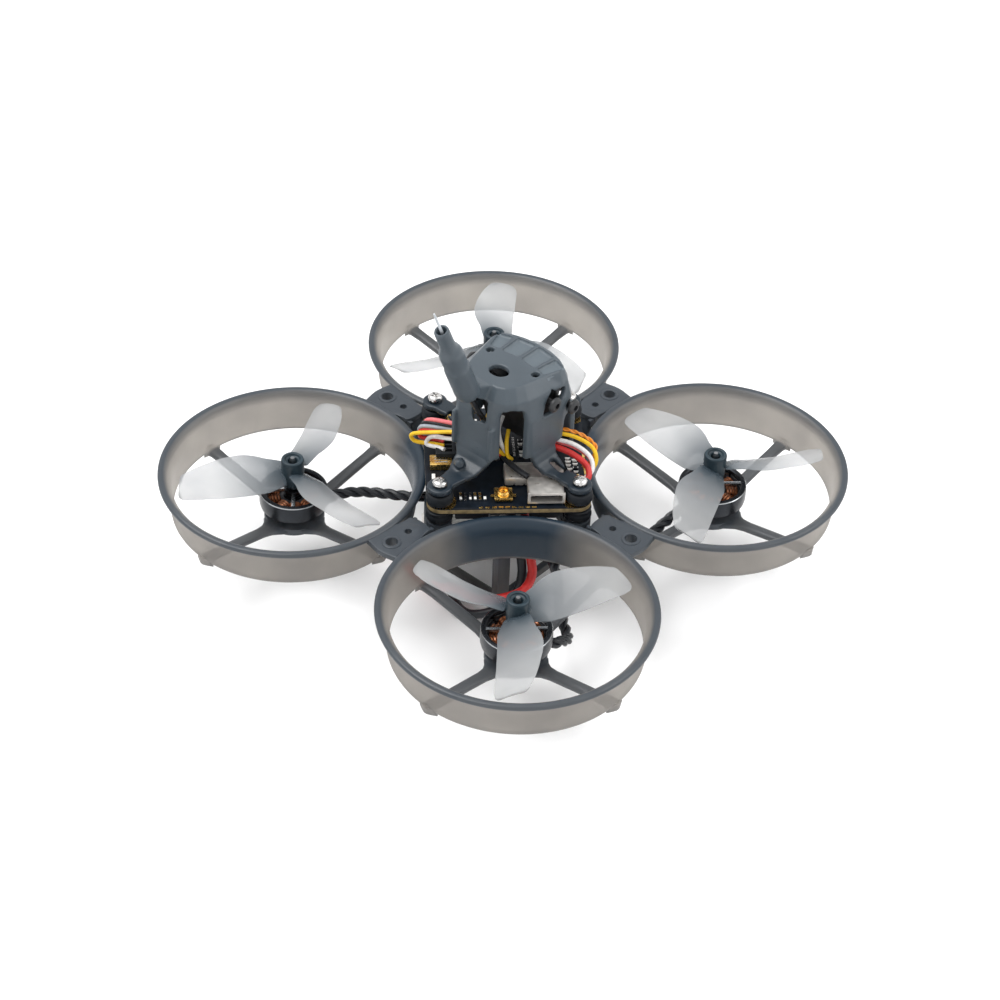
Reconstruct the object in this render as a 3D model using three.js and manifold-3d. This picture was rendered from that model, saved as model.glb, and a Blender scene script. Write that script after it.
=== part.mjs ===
// An 85 mm ducted racing drone: millimetres, +Z up, +Y towards the nose, the ground at Z = 0.
import * as THREE from 'three';
import { mergeVertices } from 'three/addons/utils/BufferGeometryUtils.js';
import Module from 'manifold-3d';

// Driving dimensions.
const WHEELBASE = 85;
const RIM_TOP = 24;
const DUCT_HEIGHT = 9.2;
const LIP_RADIUS = 26.95;
const WALL_RADIUS = 24.8;
const WALL = 0.8;
const GAP = 0.3;
const SPOKE_WIDTH = 2.4;
const SPOKE_THICK = 1.6;
const MOUNT_TOP = 12.5;
const MOUNT_THICK = 1.6;
const MOUNT_RADIUS = 5.6;
const BELL_RADIUS = 6.95;
const BELL_BOTTOM = 14.9;
const BELL_TOP = 18.4;
const SHAFT_RADIUS = 0.75;
const HUB_RADIUS = 2.3;
const HUB_BOTTOM = 19.4;
const HUB_TOP = 26.1;
const PROP_RADIUS = 23.6;
const BLADE_PITCH = 40;
const PITCH_LIMIT = 0.42;
const BLADE_THICK = 0.7;
const MOUNT_SCREW_CIRCLE = 3.3;
const GUSSET_THICK = 1.3;
const GUSSET_LARGE_HOLE = 2.5;
const GUSSET_SMALL_HOLE = 1.5;
const LARGE_HOLE_REACH = 32.8;
const SMALL_HOLE_REACH = 28.2;
const POST_OFFSET = 19.35;
const POST_RADIUS = 2.6;
const POST_TOP = 21.6;
const BOARD_HALF = 16.2;
const BOARD_LUG = 3;
const BOARD_BOTTOM = 24.6;
const BOARD_THICK = 1.2;
const GROMMET_RADIUS = 2.8;
const GROMMET_TOP = 28.5;
const FOOT_THICK = 1.2;
const CANOPY_TOP = 49;
const CANOPY_WALL = 1.2;
const BAY_LEG_X = 9.4;
const BAY_LEG_Y = 11;
const BAY_WALL = 1.6;
const BAY_LEG_DEPTH = 3.8;
const BAR_BOTTOM = 16.5;
const BAR_HEIGHT = 2;
const LEAD_RADIUS = 0.95;
const MOTOR_CABLE_RADIUS = 1.2;
const CAMERA_Y = 3.8;
const CAMERA_Z = 38.8;
const CAMERA_TILT = 15;
const PIVOT_Y = 7.2;
const PIVOT_Z = 40.3;
const SLOT_RADIUS = 6.8;
const SLOT_ANGLE = 148;
const ANTENNA_LEAN = 0.4;
const BUTTON_U = 12.4;
const BUTTON_V = 5.6;
const RING_SIDES = 36;

// Values that follow from the driving dimensions.
const MOTOR_OFFSET = WHEELBASE / 2 / Math.SQRT2;
const DUCT_BOTTOM = RIM_TOP - DUCT_HEIGHT;
const MOUNT_BOTTOM = MOUNT_TOP - MOUNT_THICK;
const GUSSET_BOTTOM = RIM_TOP - 1.7;
const BOARD_TOP = BOARD_BOTTOM + BOARD_THICK;
const FOOT_BOTTOM = GROMMET_TOP + GAP;
const FOOT_TOP = FOOT_BOTTOM + FOOT_THICK;
const X_AXIS = new THREE.Vector3(1, 0, 0);
const Y_AXIS = new THREE.Vector3(0, 1, 0);
const POSTS = [[0, POST_OFFSET], [POST_OFFSET, 0], [0, -POST_OFFSET], [-POST_OFFSET, 0]];
const ANTENNA_LINE = new THREE.Vector3(0, -Math.sin(ANTENNA_LEAN), Math.cos(ANTENNA_LEAN));

const MOTORS = [
  { name: 'front_left', side: -1, end: 1, spin: 1, restAngle: 7 },
  { name: 'front_right', side: 1, end: 1, spin: -1, restAngle: 54 },
  { name: 'rear_left', side: -1, end: -1, spin: -1, restAngle: -4 },
  { name: 'rear_right', side: 1, end: -1, spin: 1, restAngle: 69 },
];

const COLOURS = {
  frame: [0x59636a, 0.35, 0],
  metal: [0xc8ccd0, 0.25, 1],
  black: [0x15171a, 0.45, 0],
  blackMetal: [0x1c2024, 0.3, 0.9],
  copper: [0xb4623a, 0.35, 1],
  propeller: [0xb9bdbf, 0.3, 0],
  gold: [0xc99a3c, 0.3, 1],
  canopy: [0x5f6b75, 0.4, 0],
  glass: [0x101418, 0.05, 0],
  red: [0xb3202a, 0.5, 0],
  yellow: [0xe3a80c, 0.5, 0],
  white: [0xe6e6e2, 0.5, 0],
};

const wasm = await Module();
wasm.setup();

const drone = new THREE.Group();

// Turns a closed geometry into a solid, with its faces turned outwards.
function solid(geometry) {
  const bare = geometry.clone();
  for (const name of Object.keys(bare.attributes)) {
    if (name !== 'position') bare.deleteAttribute(name);
  }
  const merged = mergeVertices(bare, 1e-4);
  const triangles = merged.index.array;
  const places = merged.attributes.position.array;
  if (signedVolume(places, triangles) < 0) {
    for (let i = 0; i < triangles.length; i += 3) {
      [triangles[i], triangles[i + 1]] = [triangles[i + 1], triangles[i]];
    }
  }
  const mesh = new wasm.Mesh({
    numProp: 3,
    vertProperties: new Float32Array(places),
    triVerts: new Uint32Array(triangles),
  });
  return new wasm.Manifold(mesh);
}

function signedVolume(places, triangles) {
  const corner = [new THREE.Vector3(), new THREE.Vector3(), new THREE.Vector3()];
  let sum = 0;
  for (let i = 0; i < triangles.length; i += 3) {
    corner.forEach((point, j) => point.fromArray(places, triangles[i + j] * 3));
    sum += corner[0].dot(corner[1].clone().cross(corner[2]));
  }
  return sum;
}

function join(...solids) {
  return solids.reduce((whole, piece) => whole.add(piece));
}

function cut(whole, ...tools) {
  return tools.reduce((rest, tool) => rest.subtract(tool), whole);
}

function add(name, shape, colour) {
  const result = shape.getMesh();
  const places = new Float32Array(result.vertProperties);
  const geometry = new THREE.BufferGeometry();
  geometry.setAttribute('position', new THREE.BufferAttribute(places, 3));
  geometry.setIndex(new THREE.BufferAttribute(new Uint32Array(result.triVerts), 1));
  const [color, roughness, metalness] = COLOURS[colour];
  const mesh = new THREE.Mesh(geometry, new THREE.MeshStandardMaterial({ color, roughness, metalness }));
  mesh.name = name;
  drone.add(mesh);
}

// A box centred on x and y, standing on z.
function box(width, depth, height, x = 0, y = 0, z = 0, turn = 0) {
  const geometry = new THREE.BoxGeometry(width, depth, height);
  geometry.translate(0, 0, height / 2);
  geometry.rotateZ(turn);
  geometry.translate(x, y, z);
  return solid(geometry);
}

// A vertical cylinder standing on z.
function cylinder(radius, height, x = 0, y = 0, z = 0, sides = 24) {
  const geometry = new THREE.CylinderGeometry(radius, radius, height, sides);
  geometry.rotateX(Math.PI / 2);
  geometry.translate(x, y, z + height / 2);
  return solid(geometry);
}

// A cylinder centred on a point, along any direction.
function rod(radius, length, centre, direction, sides = 20) {
  const geometry = new THREE.CylinderGeometry(radius, radius, length, sides);
  const turn = new THREE.Quaternion();
  turn.setFromUnitVectors(new THREE.Vector3(0, 1, 0), direction.clone().normalize());
  geometry.applyQuaternion(turn);
  geometry.translate(centre.x, centre.y, centre.z);
  return solid(geometry);
}

// A body of revolution about a vertical axis; the profile holds [radius, z] pairs.
function turned(profile, x = 0, y = 0, sides = 32) {
  const points = profile.map(([radius, z]) => new THREE.Vector2(radius, z));
  const onAxis = points[0].x === 0 && points[points.length - 1].x === 0;
  if (!onAxis) points.push(points[0].clone());
  const geometry = new THREE.LatheGeometry(points, sides);
  geometry.rotateX(Math.PI / 2);
  geometry.translate(x, y, 0);
  return solid(geometry);
}

// A flat plate with the outline given, from z upwards.
function plate(outline, height, z) {
  const shape = new THREE.Shape(outline.map(([x, y]) => new THREE.Vector2(x, y)));
  const geometry = new THREE.ExtrudeGeometry(shape, { depth: height, bevelEnabled: false });
  geometry.translate(0, 0, z);
  return solid(geometry);
}

// A round tube along a smooth curve through the points.
function tube(points, radius, steps, sides = 8) {
  const path = new THREE.CatmullRomCurve3(points.map((p) => new THREE.Vector3(...p)), false, 'centripetal');
  const section = new THREE.Shape();
  section.absarc(0, 0, radius, 0, 2 * Math.PI);
  const options = { steps, bevelEnabled: false, extrudePath: path, curveSegments: sides / 2 };
  return solid(new THREE.ExtrudeGeometry(section, options));
}

// Joins closed rings of equal length into one closed skin, with flat ends.
function loft(rings) {
  const count = rings[0].length;
  const places = rings.flat().flatMap((p) => [p.x, p.y, p.z]);
  const triangles = [];
  for (let i = 0; i + 1 < rings.length; i += 1) {
    for (let j = 0; j < count; j += 1) {
      const next = (j + 1) % count;
      const [a, b] = [i * count + j, i * count + next];
      triangles.push(a, b, b + count, a, b + count, a + count);
    }
  }
  const last = (rings.length - 1) * count;
  for (let j = 1; j + 1 < count; j += 1) {
    triangles.push(0, j + 1, j, last, last + j, last + j + 1);
  }
  const geometry = new THREE.BufferGeometry();
  geometry.setAttribute('position', new THREE.Float32BufferAttribute(places, 3));
  geometry.setIndex(triangles);
  return solid(geometry);
}

// One duct: a bell-mouthed ring, four spokes that fall to the motor mount, and small feet outside.
function duct(cx, cy) {
  const top = RIM_TOP;
  const ring = turned([
    [WALL_RADIUS - WALL, DUCT_BOTTOM],
    [WALL_RADIUS - WALL + 0.2, top - 2.2],
    [WALL_RADIUS + 0.25, top - 0.7],
    [LIP_RADIUS - 0.8, top],
    [LIP_RADIUS, top - 0.5],
    [LIP_RADIUS - 0.2, top - 1.1],
    [WALL_RADIUS + 0.3, top - 2.1],
    [WALL_RADIUS, DUCT_BOTTOM],
  ], cx, cy, RING_SIDES);
  const low = MOUNT_BOTTOM;
  const mount = cylinder(MOUNT_RADIUS, MOUNT_THICK, cx, cy, low, 20);
  const inner = MOUNT_RADIUS - 1.6;
  const outer = WALL_RADIUS + 0.5;
  const high = DUCT_BOTTOM - SPOKE_THICK + 0.7;
  const side = new THREE.Shape([
    new THREE.Vector2(inner, low),
    new THREE.Vector2(MOUNT_RADIUS + 1.5, low),
    new THREE.Vector2(outer - 1.2, high),
    new THREE.Vector2(outer, high),
    new THREE.Vector2(outer, high + SPOKE_THICK),
    new THREE.Vector2(outer - 1.6, high + SPOKE_THICK),
    new THREE.Vector2(MOUNT_RADIUS + 1.2, low + SPOKE_THICK),
    new THREE.Vector2(inner, low + SPOKE_THICK),
  ]);
  const parts = [];
  for (let k = 0; k < 4; k += 1) {
    const geometry = new THREE.ExtrudeGeometry(side, { depth: SPOKE_WIDTH, bevelEnabled: false });
    geometry.translate(0, 0, -SPOKE_WIDTH / 2);
    geometry.rotateX(Math.PI / 2);
    geometry.rotateZ(k * Math.PI / 2);
    geometry.translate(cx, cy, 0);
    parts.push(solid(geometry));
  }
  const holes = [cylinder(1.4, 4, cx, cy, low - 1, 10)];
  for (const angle of [30, 150, 270]) {
    const turn = THREE.MathUtils.degToRad(angle);
    const x = cx + MOUNT_SCREW_CIRCLE * Math.cos(turn);
    const y = cy + MOUNT_SCREW_CIRCLE * Math.sin(turn);
    holes.push(cylinder(0.9, 4, x, y, low - 1, 8));
  }
  return cut(join(ring, mount, ...parts), ...holes);
}

// The gusset between two neighbouring ducts, for the +X side; it is turned to the other three.
function gusset() {
  const outline = [
    [POST_OFFSET + 3.2, -1.6],
    [26.4, -2.6],
    [29.4, -3.6],
    [31, -6.4],
    [34.6, -6.4],
    [35.8, -3],
    [36.3, 0],
    [35.8, 3],
    [34.6, 6.4],
    [31, 6.4],
    [29.4, 3.6],
    [26.4, 2.6],
    [POST_OFFSET + 3.2, 1.6],
  ];
  const body = plate(outline, GUSSET_THICK, GUSSET_BOTTOM);
  const ribs = [-1.6, 1.6].map((y) => box(6, 0.9, 1.2, 25.8, y, GUSSET_BOTTOM - 0.9));
  const largeHole = cylinder(GUSSET_LARGE_HOLE / 2, 6, LARGE_HOLE_REACH, 0, GUSSET_BOTTOM - 2, 12);
  const smallHole = cylinder(GUSSET_SMALL_HOLE / 2, 6, SMALL_HOLE_REACH, 0, GUSSET_BOTTOM - 2, 10);
  return cut(join(body, ...ribs), largeHole, smallHole);
}

// The middle of the frame: posts, bars, gussets and the battery bay under them.
function centreFrame() {
  const barLength = POST_OFFSET * Math.SQRT2;
  const pieces = [];
  for (let k = 0; k < 4; k += 1) {
    const turn = k * Math.PI / 2;
    const place = (shape) => shape.rotate([0, 0, turn * 180 / Math.PI]);
    const middle = POST_OFFSET / 2;
    const post = cylinder(POST_RADIUS, POST_TOP - BAR_BOTTOM, POST_OFFSET, 0, BAR_BOTTOM, 16);
    const bar = box(barLength, 2.4, BAR_HEIGHT, middle, middle, BAR_BOTTOM, 3 * Math.PI / 4);
    const riser = box(2, 3.2, GUSSET_BOTTOM - BAR_BOTTOM + 0.6, POST_OFFSET + 4.2, 0, BAR_BOTTOM);
    const arm = box(4, 3.2, 1.6, POST_OFFSET + 3.2, 0, BAR_BOTTOM);
    pieces.push(place(post), place(bar), place(riser), place(arm), place(gusset()));
  }
  for (const end of [-1, 1]) {
    for (const side of [-1, 1]) {
      pieces.push(box(BAY_WALL, BAY_LEG_DEPTH, BAR_BOTTOM + 1, side * BAY_LEG_X, end * BAY_LEG_Y, 0));
    }
    pieces.push(box(2 * BAY_LEG_X + BAY_WALL, BAY_LEG_DEPTH, BAY_WALL, 0, end * BAY_LEG_Y, 0));
  }
  for (const side of [-1, 1]) {
    pieces.push(box(BAY_WALL, 2 * BAY_LEG_Y, BAY_WALL, side * BAY_LEG_X, 0, 0));
  }
  const holes = [];
  for (let k = 0; k < 4; k += 1) {
    const turn = k * Math.PI / 2;
    const [x, y] = [POST_OFFSET * Math.cos(turn), POST_OFFSET * Math.sin(turn)];
    holes.push(cylinder(1, 3.2, x, y, POST_TOP - 3, 10));
  }
  for (const motor of MOTORS) {
    const [cx, cy] = [motor.side * MOTOR_OFFSET, motor.end * MOTOR_OFFSET];
    holes.push(turned([
      [0, 8],
      [WALL_RADIUS + GAP, 8],
      [WALL_RADIUS + GAP, RIM_TOP - 2.6],
      [LIP_RADIUS + GAP, GUSSET_BOTTOM],
      [LIP_RADIUS + GAP, RIM_TOP + 1],
      [0, RIM_TOP + 1],
    ], cx, cy, RING_SIDES));
  }
  return cut(join(...pieces), ...holes);
}

// The still half of a motor: its base plate with a bearing tube in the middle.
function motorBase(cx, cy) {
  const low = MOUNT_TOP + GAP;
  return turned([
    [SHAFT_RADIUS + GAP, low],
    [4.6, low],
    [4.6, low + 0.9],
    [3, low + 1.3],
    [2.2, low + 1.5],
    [2.2, BELL_TOP - 1.4],
    [SHAFT_RADIUS + GAP, BELL_TOP - 1.4],
  ], cx, cy, 16);
}

// Nine wound teeth on a ring round the bearing tube.
function stator(cx, cy) {
  const low = BELL_BOTTOM + 0.2;
  const height = BELL_TOP - 1.5 - low;
  const core = cylinder(3.4, height - 0.8, cx, cy, low + 0.4, 18);
  const teeth = [];
  for (let k = 0; k < 9; k += 1) {
    const turn = k * 2 * Math.PI / 9;
    const [x, y] = [Math.cos(turn), Math.sin(turn)];
    teeth.push(box(2.5, 1.7, height, cx + 4.2 * x, cy + 4.2 * y, low, turn));
  }
  return cut(join(core, ...teeth), cylinder(2.2 + GAP, 9, cx, cy, low - 2, 18));
}

// The turning half of a motor: an open cup with four top spokes and a hub.
function bell(cx, cy) {
  const cup = turned([
    [BELL_RADIUS - 0.75, BELL_BOTTOM],
    [BELL_RADIUS, BELL_BOTTOM],
    [BELL_RADIUS, BELL_TOP - 0.4],
    [BELL_RADIUS - 0.4, BELL_TOP],
    [BELL_RADIUS - 1.15, BELL_TOP],
    [BELL_RADIUS - 1.15, BELL_TOP - 0.8],
    [BELL_RADIUS - 0.75, BELL_TOP - 0.8],
  ], cx, cy, 24);
  const hub = cylinder(1.9, 1, cx, cy, BELL_TOP - 0.8, 16);
  const spokes = [];
  for (let k = 0; k < 4; k += 1) {
    const turn = Math.PI / 4 + k * Math.PI / 2;
    const reach = BELL_RADIUS - 1;
    const [x, y] = [reach / 2 * Math.cos(turn), reach / 2 * Math.sin(turn)];
    spokes.push(box(reach, 1, 0.8, cx + x, cy + y, BELL_TOP - 0.8, turn));
  }
  return cut(join(cup, hub, ...spokes), cylinder(SHAFT_RADIUS + GAP, 9, cx, cy, BELL_TOP - 3, 16));
}

// One blade along +X: widest at a third of its length, with a straight trailing edge and a slanted tip.
function blade(spin) {
  const rings = [];
  const steps = 6;
  for (let i = 0; i <= steps; i += 1) {
    const t = i / steps;
    const radius = 1.7 + (PROP_RADIUS - 1.7) * t;
    const swell = 4.9 * Math.sin(Math.PI * Math.min(1.25 * t, 0.5));
    const chord = 4.4 + swell - 6.45 * Math.max(t - 0.4, 0) ** 1.5;
    const pitch = Math.min(Math.atan2(BLADE_PITCH, 2 * Math.PI * radius), PITCH_LIMIT);
    const trail = Math.min(0.5 * chord, 3.9 - 0.5 * t);
    const thick = BLADE_THICK * (1 - 0.45 * t);
    const ring = [];
    const across = [0, 0.3, 0.7, 1];
    const depth = [0, 1, 0.9, 0];
    const put = (s, rise) => {
      const along = trail - chord * s;
      const y = (trail - chord / 2) + (along - trail + chord / 2) * Math.cos(pitch);
      const z = (s - 0.5) * chord * Math.sin(pitch) + rise + 0.45 * Math.sin(Math.PI * s);
      ring.push(new THREE.Vector3(radius - 1.5 * s * t ** 6, -spin * y, HUB_BOTTOM + 3.2 + z));
    };
    across.forEach((s, j) => put(s, thick * (0.5 * depth[j] + 0.15)));
    across.slice().reverse().forEach((s, j) => put(s, -thick * (0.5 * depth[3 - j] + 0.15)));
    rings.push(ring);
  }
  return loft(rings);
}

function propeller(motor, cx, cy) {
  const hub = turned([
    [SHAFT_RADIUS + GAP, HUB_BOTTOM],
    [HUB_RADIUS, HUB_BOTTOM],
    [HUB_RADIUS, HUB_TOP - 0.3],
    [HUB_RADIUS - 0.3, HUB_TOP],
    [SHAFT_RADIUS + GAP, HUB_TOP],
  ], 0, 0, 20);
  const blades = [0, 120, 240].map((step) => blade(motor.spin).rotate([0, 0, motor.restAngle + step]));
  const bore = cylinder(SHAFT_RADIUS + GAP, 20, 0, 0, HUB_BOTTOM - 5, 20);
  return cut(join(hub, ...blades), bore).translate([cx, cy, 0]);
}

// A point of the board's own square: u to the right along its rear edge, v towards the far edge.
function onBoard(u, v, z) {
  return [(u - v) * Math.SQRT1_2, (u + v) * Math.SQRT1_2, z];
}

function boardBox(width, depth, height, u, v, z) {
  const [x, y] = onBoard(u, v, z);
  return box(width, depth, height, x, y, z, Math.PI / 4);
}

function flightBoard() {
  const [long, short] = [2 * BOARD_HALF, 2 * BOARD_HALF - 2 * BOARD_LUG];
  const square = join(boardBox(long, short, BOARD_THICK, 0, 0, BOARD_BOTTOM),
    boardBox(short, long, BOARD_THICK, 0, 0, BOARD_BOTTOM));
  const lugs = POSTS.map(([x, y]) => cylinder(BOARD_LUG, BOARD_THICK, x, y, BOARD_BOTTOM, 20));
  const holes = POSTS.map(([x, y]) => cylinder(2, 4, x, y, BOARD_BOTTOM - 1, 16));
  const rim = cut(boardBox(3, 3, 1.3, BUTTON_U, BUTTON_V, BOARD_TOP - 0.1),
    boardBox(2.2, 2.2, 2, BUTTON_U, BUTTON_V, BOARD_TOP));
  return join(cut(join(square, ...lugs), ...holes), rim);
}

// A micro socket: a thin metal tube, closed at the back, with a tongue inside.
function usbSocket() {
  const [width, depth, height] = [7.4, 5.6, 2.6];
  const [u, v, z] = [7.2, -12.4, BOARD_TOP + GAP];
  const shell = boardBox(width, depth, height, u, v, z);
  const mouth = boardBox(width - 0.8, depth, height - 0.8, u, v - 0.6, z + 0.4);
  const tongue = boardBox(width - 3, depth - 1, 0.6, u, v, z + 1);
  return join(cut(shell, mouth), tongue);
}

function rfConnector() {
  const [x, y, z] = onBoard(-1.1, -12.6, BOARD_TOP + GAP);
  const base = boardBox(3.6, 3.4, 0.8, -1.1, -12.6, z);
  return join(base, cylinder(1.2, 1.6, x, y, z, 16));
}

function wirePlug() {
  const z = BOARD_TOP + GAP;
  return cut(boardBox(4.4, 8.4, 2.2, -11.8, 2.4, z), boardBox(1.6, 7.2, 1.6, -11.8, 2.4, z + 1.2));
}

// A rubber damper with a groove that holds the board.
function grommet(x, y) {
  const groove = GROMMET_RADIUS - 1.1;
  return turned([
    [1, POST_TOP + GAP],
    [GROMMET_RADIUS, POST_TOP + GAP],
    [GROMMET_RADIUS, BOARD_BOTTOM - GAP],
    [groove, BOARD_BOTTOM - GAP],
    [groove, BOARD_TOP + GAP],
    [GROMMET_RADIUS, BOARD_TOP + GAP],
    [GROMMET_RADIUS, GROMMET_TOP - 0.4],
    [GROMMET_RADIUS - 0.4, GROMMET_TOP],
    [1, GROMMET_TOP],
  ], x, y, 14);
}

// A pan-head screw through the canopy foot and the grommet into the post.
function canopyScrew(x, y) {
  const under = FOOT_TOP + GAP;
  const body = turned([
    [0, POST_TOP - 2.4],
    [0.7, POST_TOP - 2.4],
    [0.7, under],
    [1.45, under],
    [1.45, under + 0.5],
    [0.9, under + 1],
    [0, under + 1],
  ], x, y, 16);
  const slots = [0, 1].map((k) => box(1.6, 0.35, 1, x, y, under + 0.6, Math.PI / 4 + k * Math.PI / 2));
  return cut(body, ...slots);
}

// One level of the canopy, from the points of its right half, listed from tail to nose.
function level(z, half, inset = 0) {
  const right = half.map(([x, y]) => [x, y]);
  const left = half.filter(([x]) => x > 0).map(([x, y]) => [-x, y]).reverse();
  return [...right, ...left].map(([x, y]) => {
    const length = Math.hypot(x, y);
    const scale = (length - inset) / length;
    return new THREE.Vector3(x * scale, y * scale, z);
  });
}

const CANOPY_LEVELS = [
  [33, [[0, -9.8], [5.2, -9.8], [9.8, -4.8], [10, 0], [10, 6], [8, 9.6], [0, 9.9]]],
  [42, [[0, -9.6], [5.7, -9.6], [9.8, -5.2], [10.2, 0], [10.3, 7], [8, 10], [0, 10.2]]],
  [46.5, [[0, -9], [5.6, -9], [8.6, -5.4], [9.5, 0], [10, 6.4], [6.6, 9.2], [0, 10]]],
  [CANOPY_TOP, [[0, -7.2], [4.4, -7.2], [6.4, -4], [7.3, 0.4], [8.9, 6.6], [5, 8.6], [0, 9.2]]],
];

// A leg plate that leans out from the canopy's skirt to one post, along -Y before it is turned.
function canopyLeg(turn, spread, top) {
  const foot = POST_OFFSET;
  const drop = (top - FOOT_TOP) / 4;
  const ring = (y, half, z, inward, rise) => [
    new THREE.Vector3(-half, y, z),
    new THREE.Vector3(half, y, z),
    new THREE.Vector3(half, y + inward, z + rise),
    new THREE.Vector3(-half, y + inward, z + rise),
  ];
  const slope = loft([
    ring(-9.9, spread, top, 1.4, 0),
    ring(-10.6, spread - 0.3, top - 1.9 * drop, 1.1, -0.6),
    ring(-12.4, spread - 0.8, top - 3.2 * drop, 0.5, -1),
    ring(-14.4, spread - 1.2, FOOT_TOP - 0.05, 0.1, -1.1),
  ]);
  const shelf = box(2 * (spread - 1.2), foot - 13.2, FOOT_THICK, 0, -(foot + 13.2) / 2, FOOT_BOTTOM);
  const pad = cylinder(2.9, FOOT_THICK, 0, -foot, FOOT_BOTTOM, 20);
  const hole = cylinder(1, 4, 0, -foot, FOOT_BOTTOM - 1, 16);
  return cut(join(slope, shelf, pad), hole).rotate([0, 0, turn]);
}

function canopyShell() {
  const outer = loft(CANOPY_LEVELS.map(([z, half]) => level(z, half)));
  const inner = loft(CANOPY_LEVELS.map(([z, half], i) => {
    const lowest = i === 0;
    const highest = i === CANOPY_LEVELS.length - 1;
    return level(lowest ? z - 1 : z - (highest ? CANOPY_WALL : 0), half, CANOPY_WALL);
  }));
  const arches = [];
  for (const side of [-1, 1]) {
    arches.push(box(6.6, 7.4, 15, side * 8.6, -8.4, 30));
    arches.push(box(6.6, 5.4, 10, side * 8.6, 8.6, 28));
  }
  const cameraMouth = box(14.6, 8, 17, 0, 9.2, 29.6);
  const holes = [
    cylinder(1.9, 6, 0, -2.9, CANOPY_TOP - 3, 20),
    cylinder(0.8, 6, 5.9, 1.1, CANOPY_TOP - 3, 12),
    cylinder(0.8, 6, -5.9, 1.1, CANOPY_TOP - 3, 12),
    box(3, 4, 5.2, 1.2, -9.6, 41.2),
  ];
  for (const side of [-1, 1]) {
    holes.push(rod(1.05, 6, new THREE.Vector3(side * 9.6, PIVOT_Y, PIVOT_Z), X_AXIS, 16));
    for (let k = -2; k <= 2; k += 1) {
      const [y, z] = slotPoint(SLOT_ANGLE + k * 9);
      holes.push(rod(1.15, 6, new THREE.Vector3(side * 9.6, y, z), X_AXIS, 8));
    }
  }
  const legs = [canopyLeg(0, 4.6, 34.2), canopyLeg(90, 4.4, 34.2), canopyLeg(270, 4.4, 34.2)];
  const chin = [-1, 1].map((side) => box(2.6, 1.6, 10.4, side * 8.4, 8.8, 29.4));
  const front = canopyLeg(180, 7.8, 31.4);
  const sleeve = rod(2.85, 12.4, antennaPoint(5), ANTENNA_LINE, 16);
  const step = rod(2.35, 6, antennaPoint(13), ANTENNA_LINE, 16);
  const tip = rod(1.6, 6.6, antennaPoint(18.4), ANTENNA_LINE, 16);
  const bore = rod(0.9, 40, antennaPoint(10), ANTENNA_LINE, 10);
  const shell = cut(outer, inner, ...arches, cameraMouth, ...holes);
  const outside = cut(join(sleeve, step, tip), inner);
  return cut(join(shell, ...legs, front, ...chin, outside), bore);
}

// The antenna sleeve leans back over the tail; distances run up it from where it meets the canopy.
function antennaPoint(distance) {
  return new THREE.Vector3(0, -11.3, 47.2).addScaledVector(ANTENNA_LINE, distance);
}

// A point on the arc of the camera's tilt slot, by its angle about the pivot.
function slotPoint(angle) {
  const turn = THREE.MathUtils.degToRad(angle);
  return [PIVOT_Y + SLOT_RADIUS * Math.cos(turn), PIVOT_Z + SLOT_RADIUS * Math.sin(turn)];
}

// Pieces of the camera are made with the lens along +Y and tilted up to their rest angle.
function aim(shape) {
  return shape.rotate([CAMERA_TILT, 0, 0]).translate([0, CAMERA_Y, CAMERA_Z]);
}

function cameraHousing() {
  const body = join(box(13, 9, 12.4, 0, 0, -6.2), rod(5, 2, new THREE.Vector3(0, 5.2, 0), Y_AXIS, 24));
  const socket = rod(4.3 + GAP, 8, new THREE.Vector3(0, 5.4, 0), Y_AXIS, 24);
  const shape = aim(cut(body, socket));
  const bores = [];
  for (const side of [-1, 1]) {
    const [y, z] = slotPoint(SLOT_ANGLE);
    bores.push(rod(1, 5, new THREE.Vector3(side * 6, PIVOT_Y, PIVOT_Z), X_AXIS, 12));
    bores.push(rod(1, 5, new THREE.Vector3(side * 6, y, z), X_AXIS, 12));
  }
  return cut(shape, ...bores);
}

function lensBarrel() {
  const profile = [[2.6, 2.2], [4.3, 2.2], [4.3, 6.4], [4.6, 6.8], [4.6, 9.2], [4.2, 9.6], [3.6, 9.6],
    [3.6, 8], [2.6, 8]];
  return aim(turned(profile, 0, 0, 20).rotate([-90, 0, 0]));
}

function lensGlass() {
  const profile = [[0, 8.3], [3.3, 8.3], [3.3, 8.7], [2.2, 9.3], [0, 9.6]];
  return aim(turned(profile, 0, 0, 20).rotate([-90, 0, 0]));
}

// A camera screw: its head outside the cheek, its shank through the cheek into the housing.
function cameraScrew(side, y, z) {
  const head = rod(1.7, 0.9, new THREE.Vector3(side * 11.1, y, z), X_AXIS, 16);
  const shank = rod(0.7, 6.4, new THREE.Vector3(side * 7.9, y, z), X_AXIS, 12);
  return join(head, shank);
}

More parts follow.
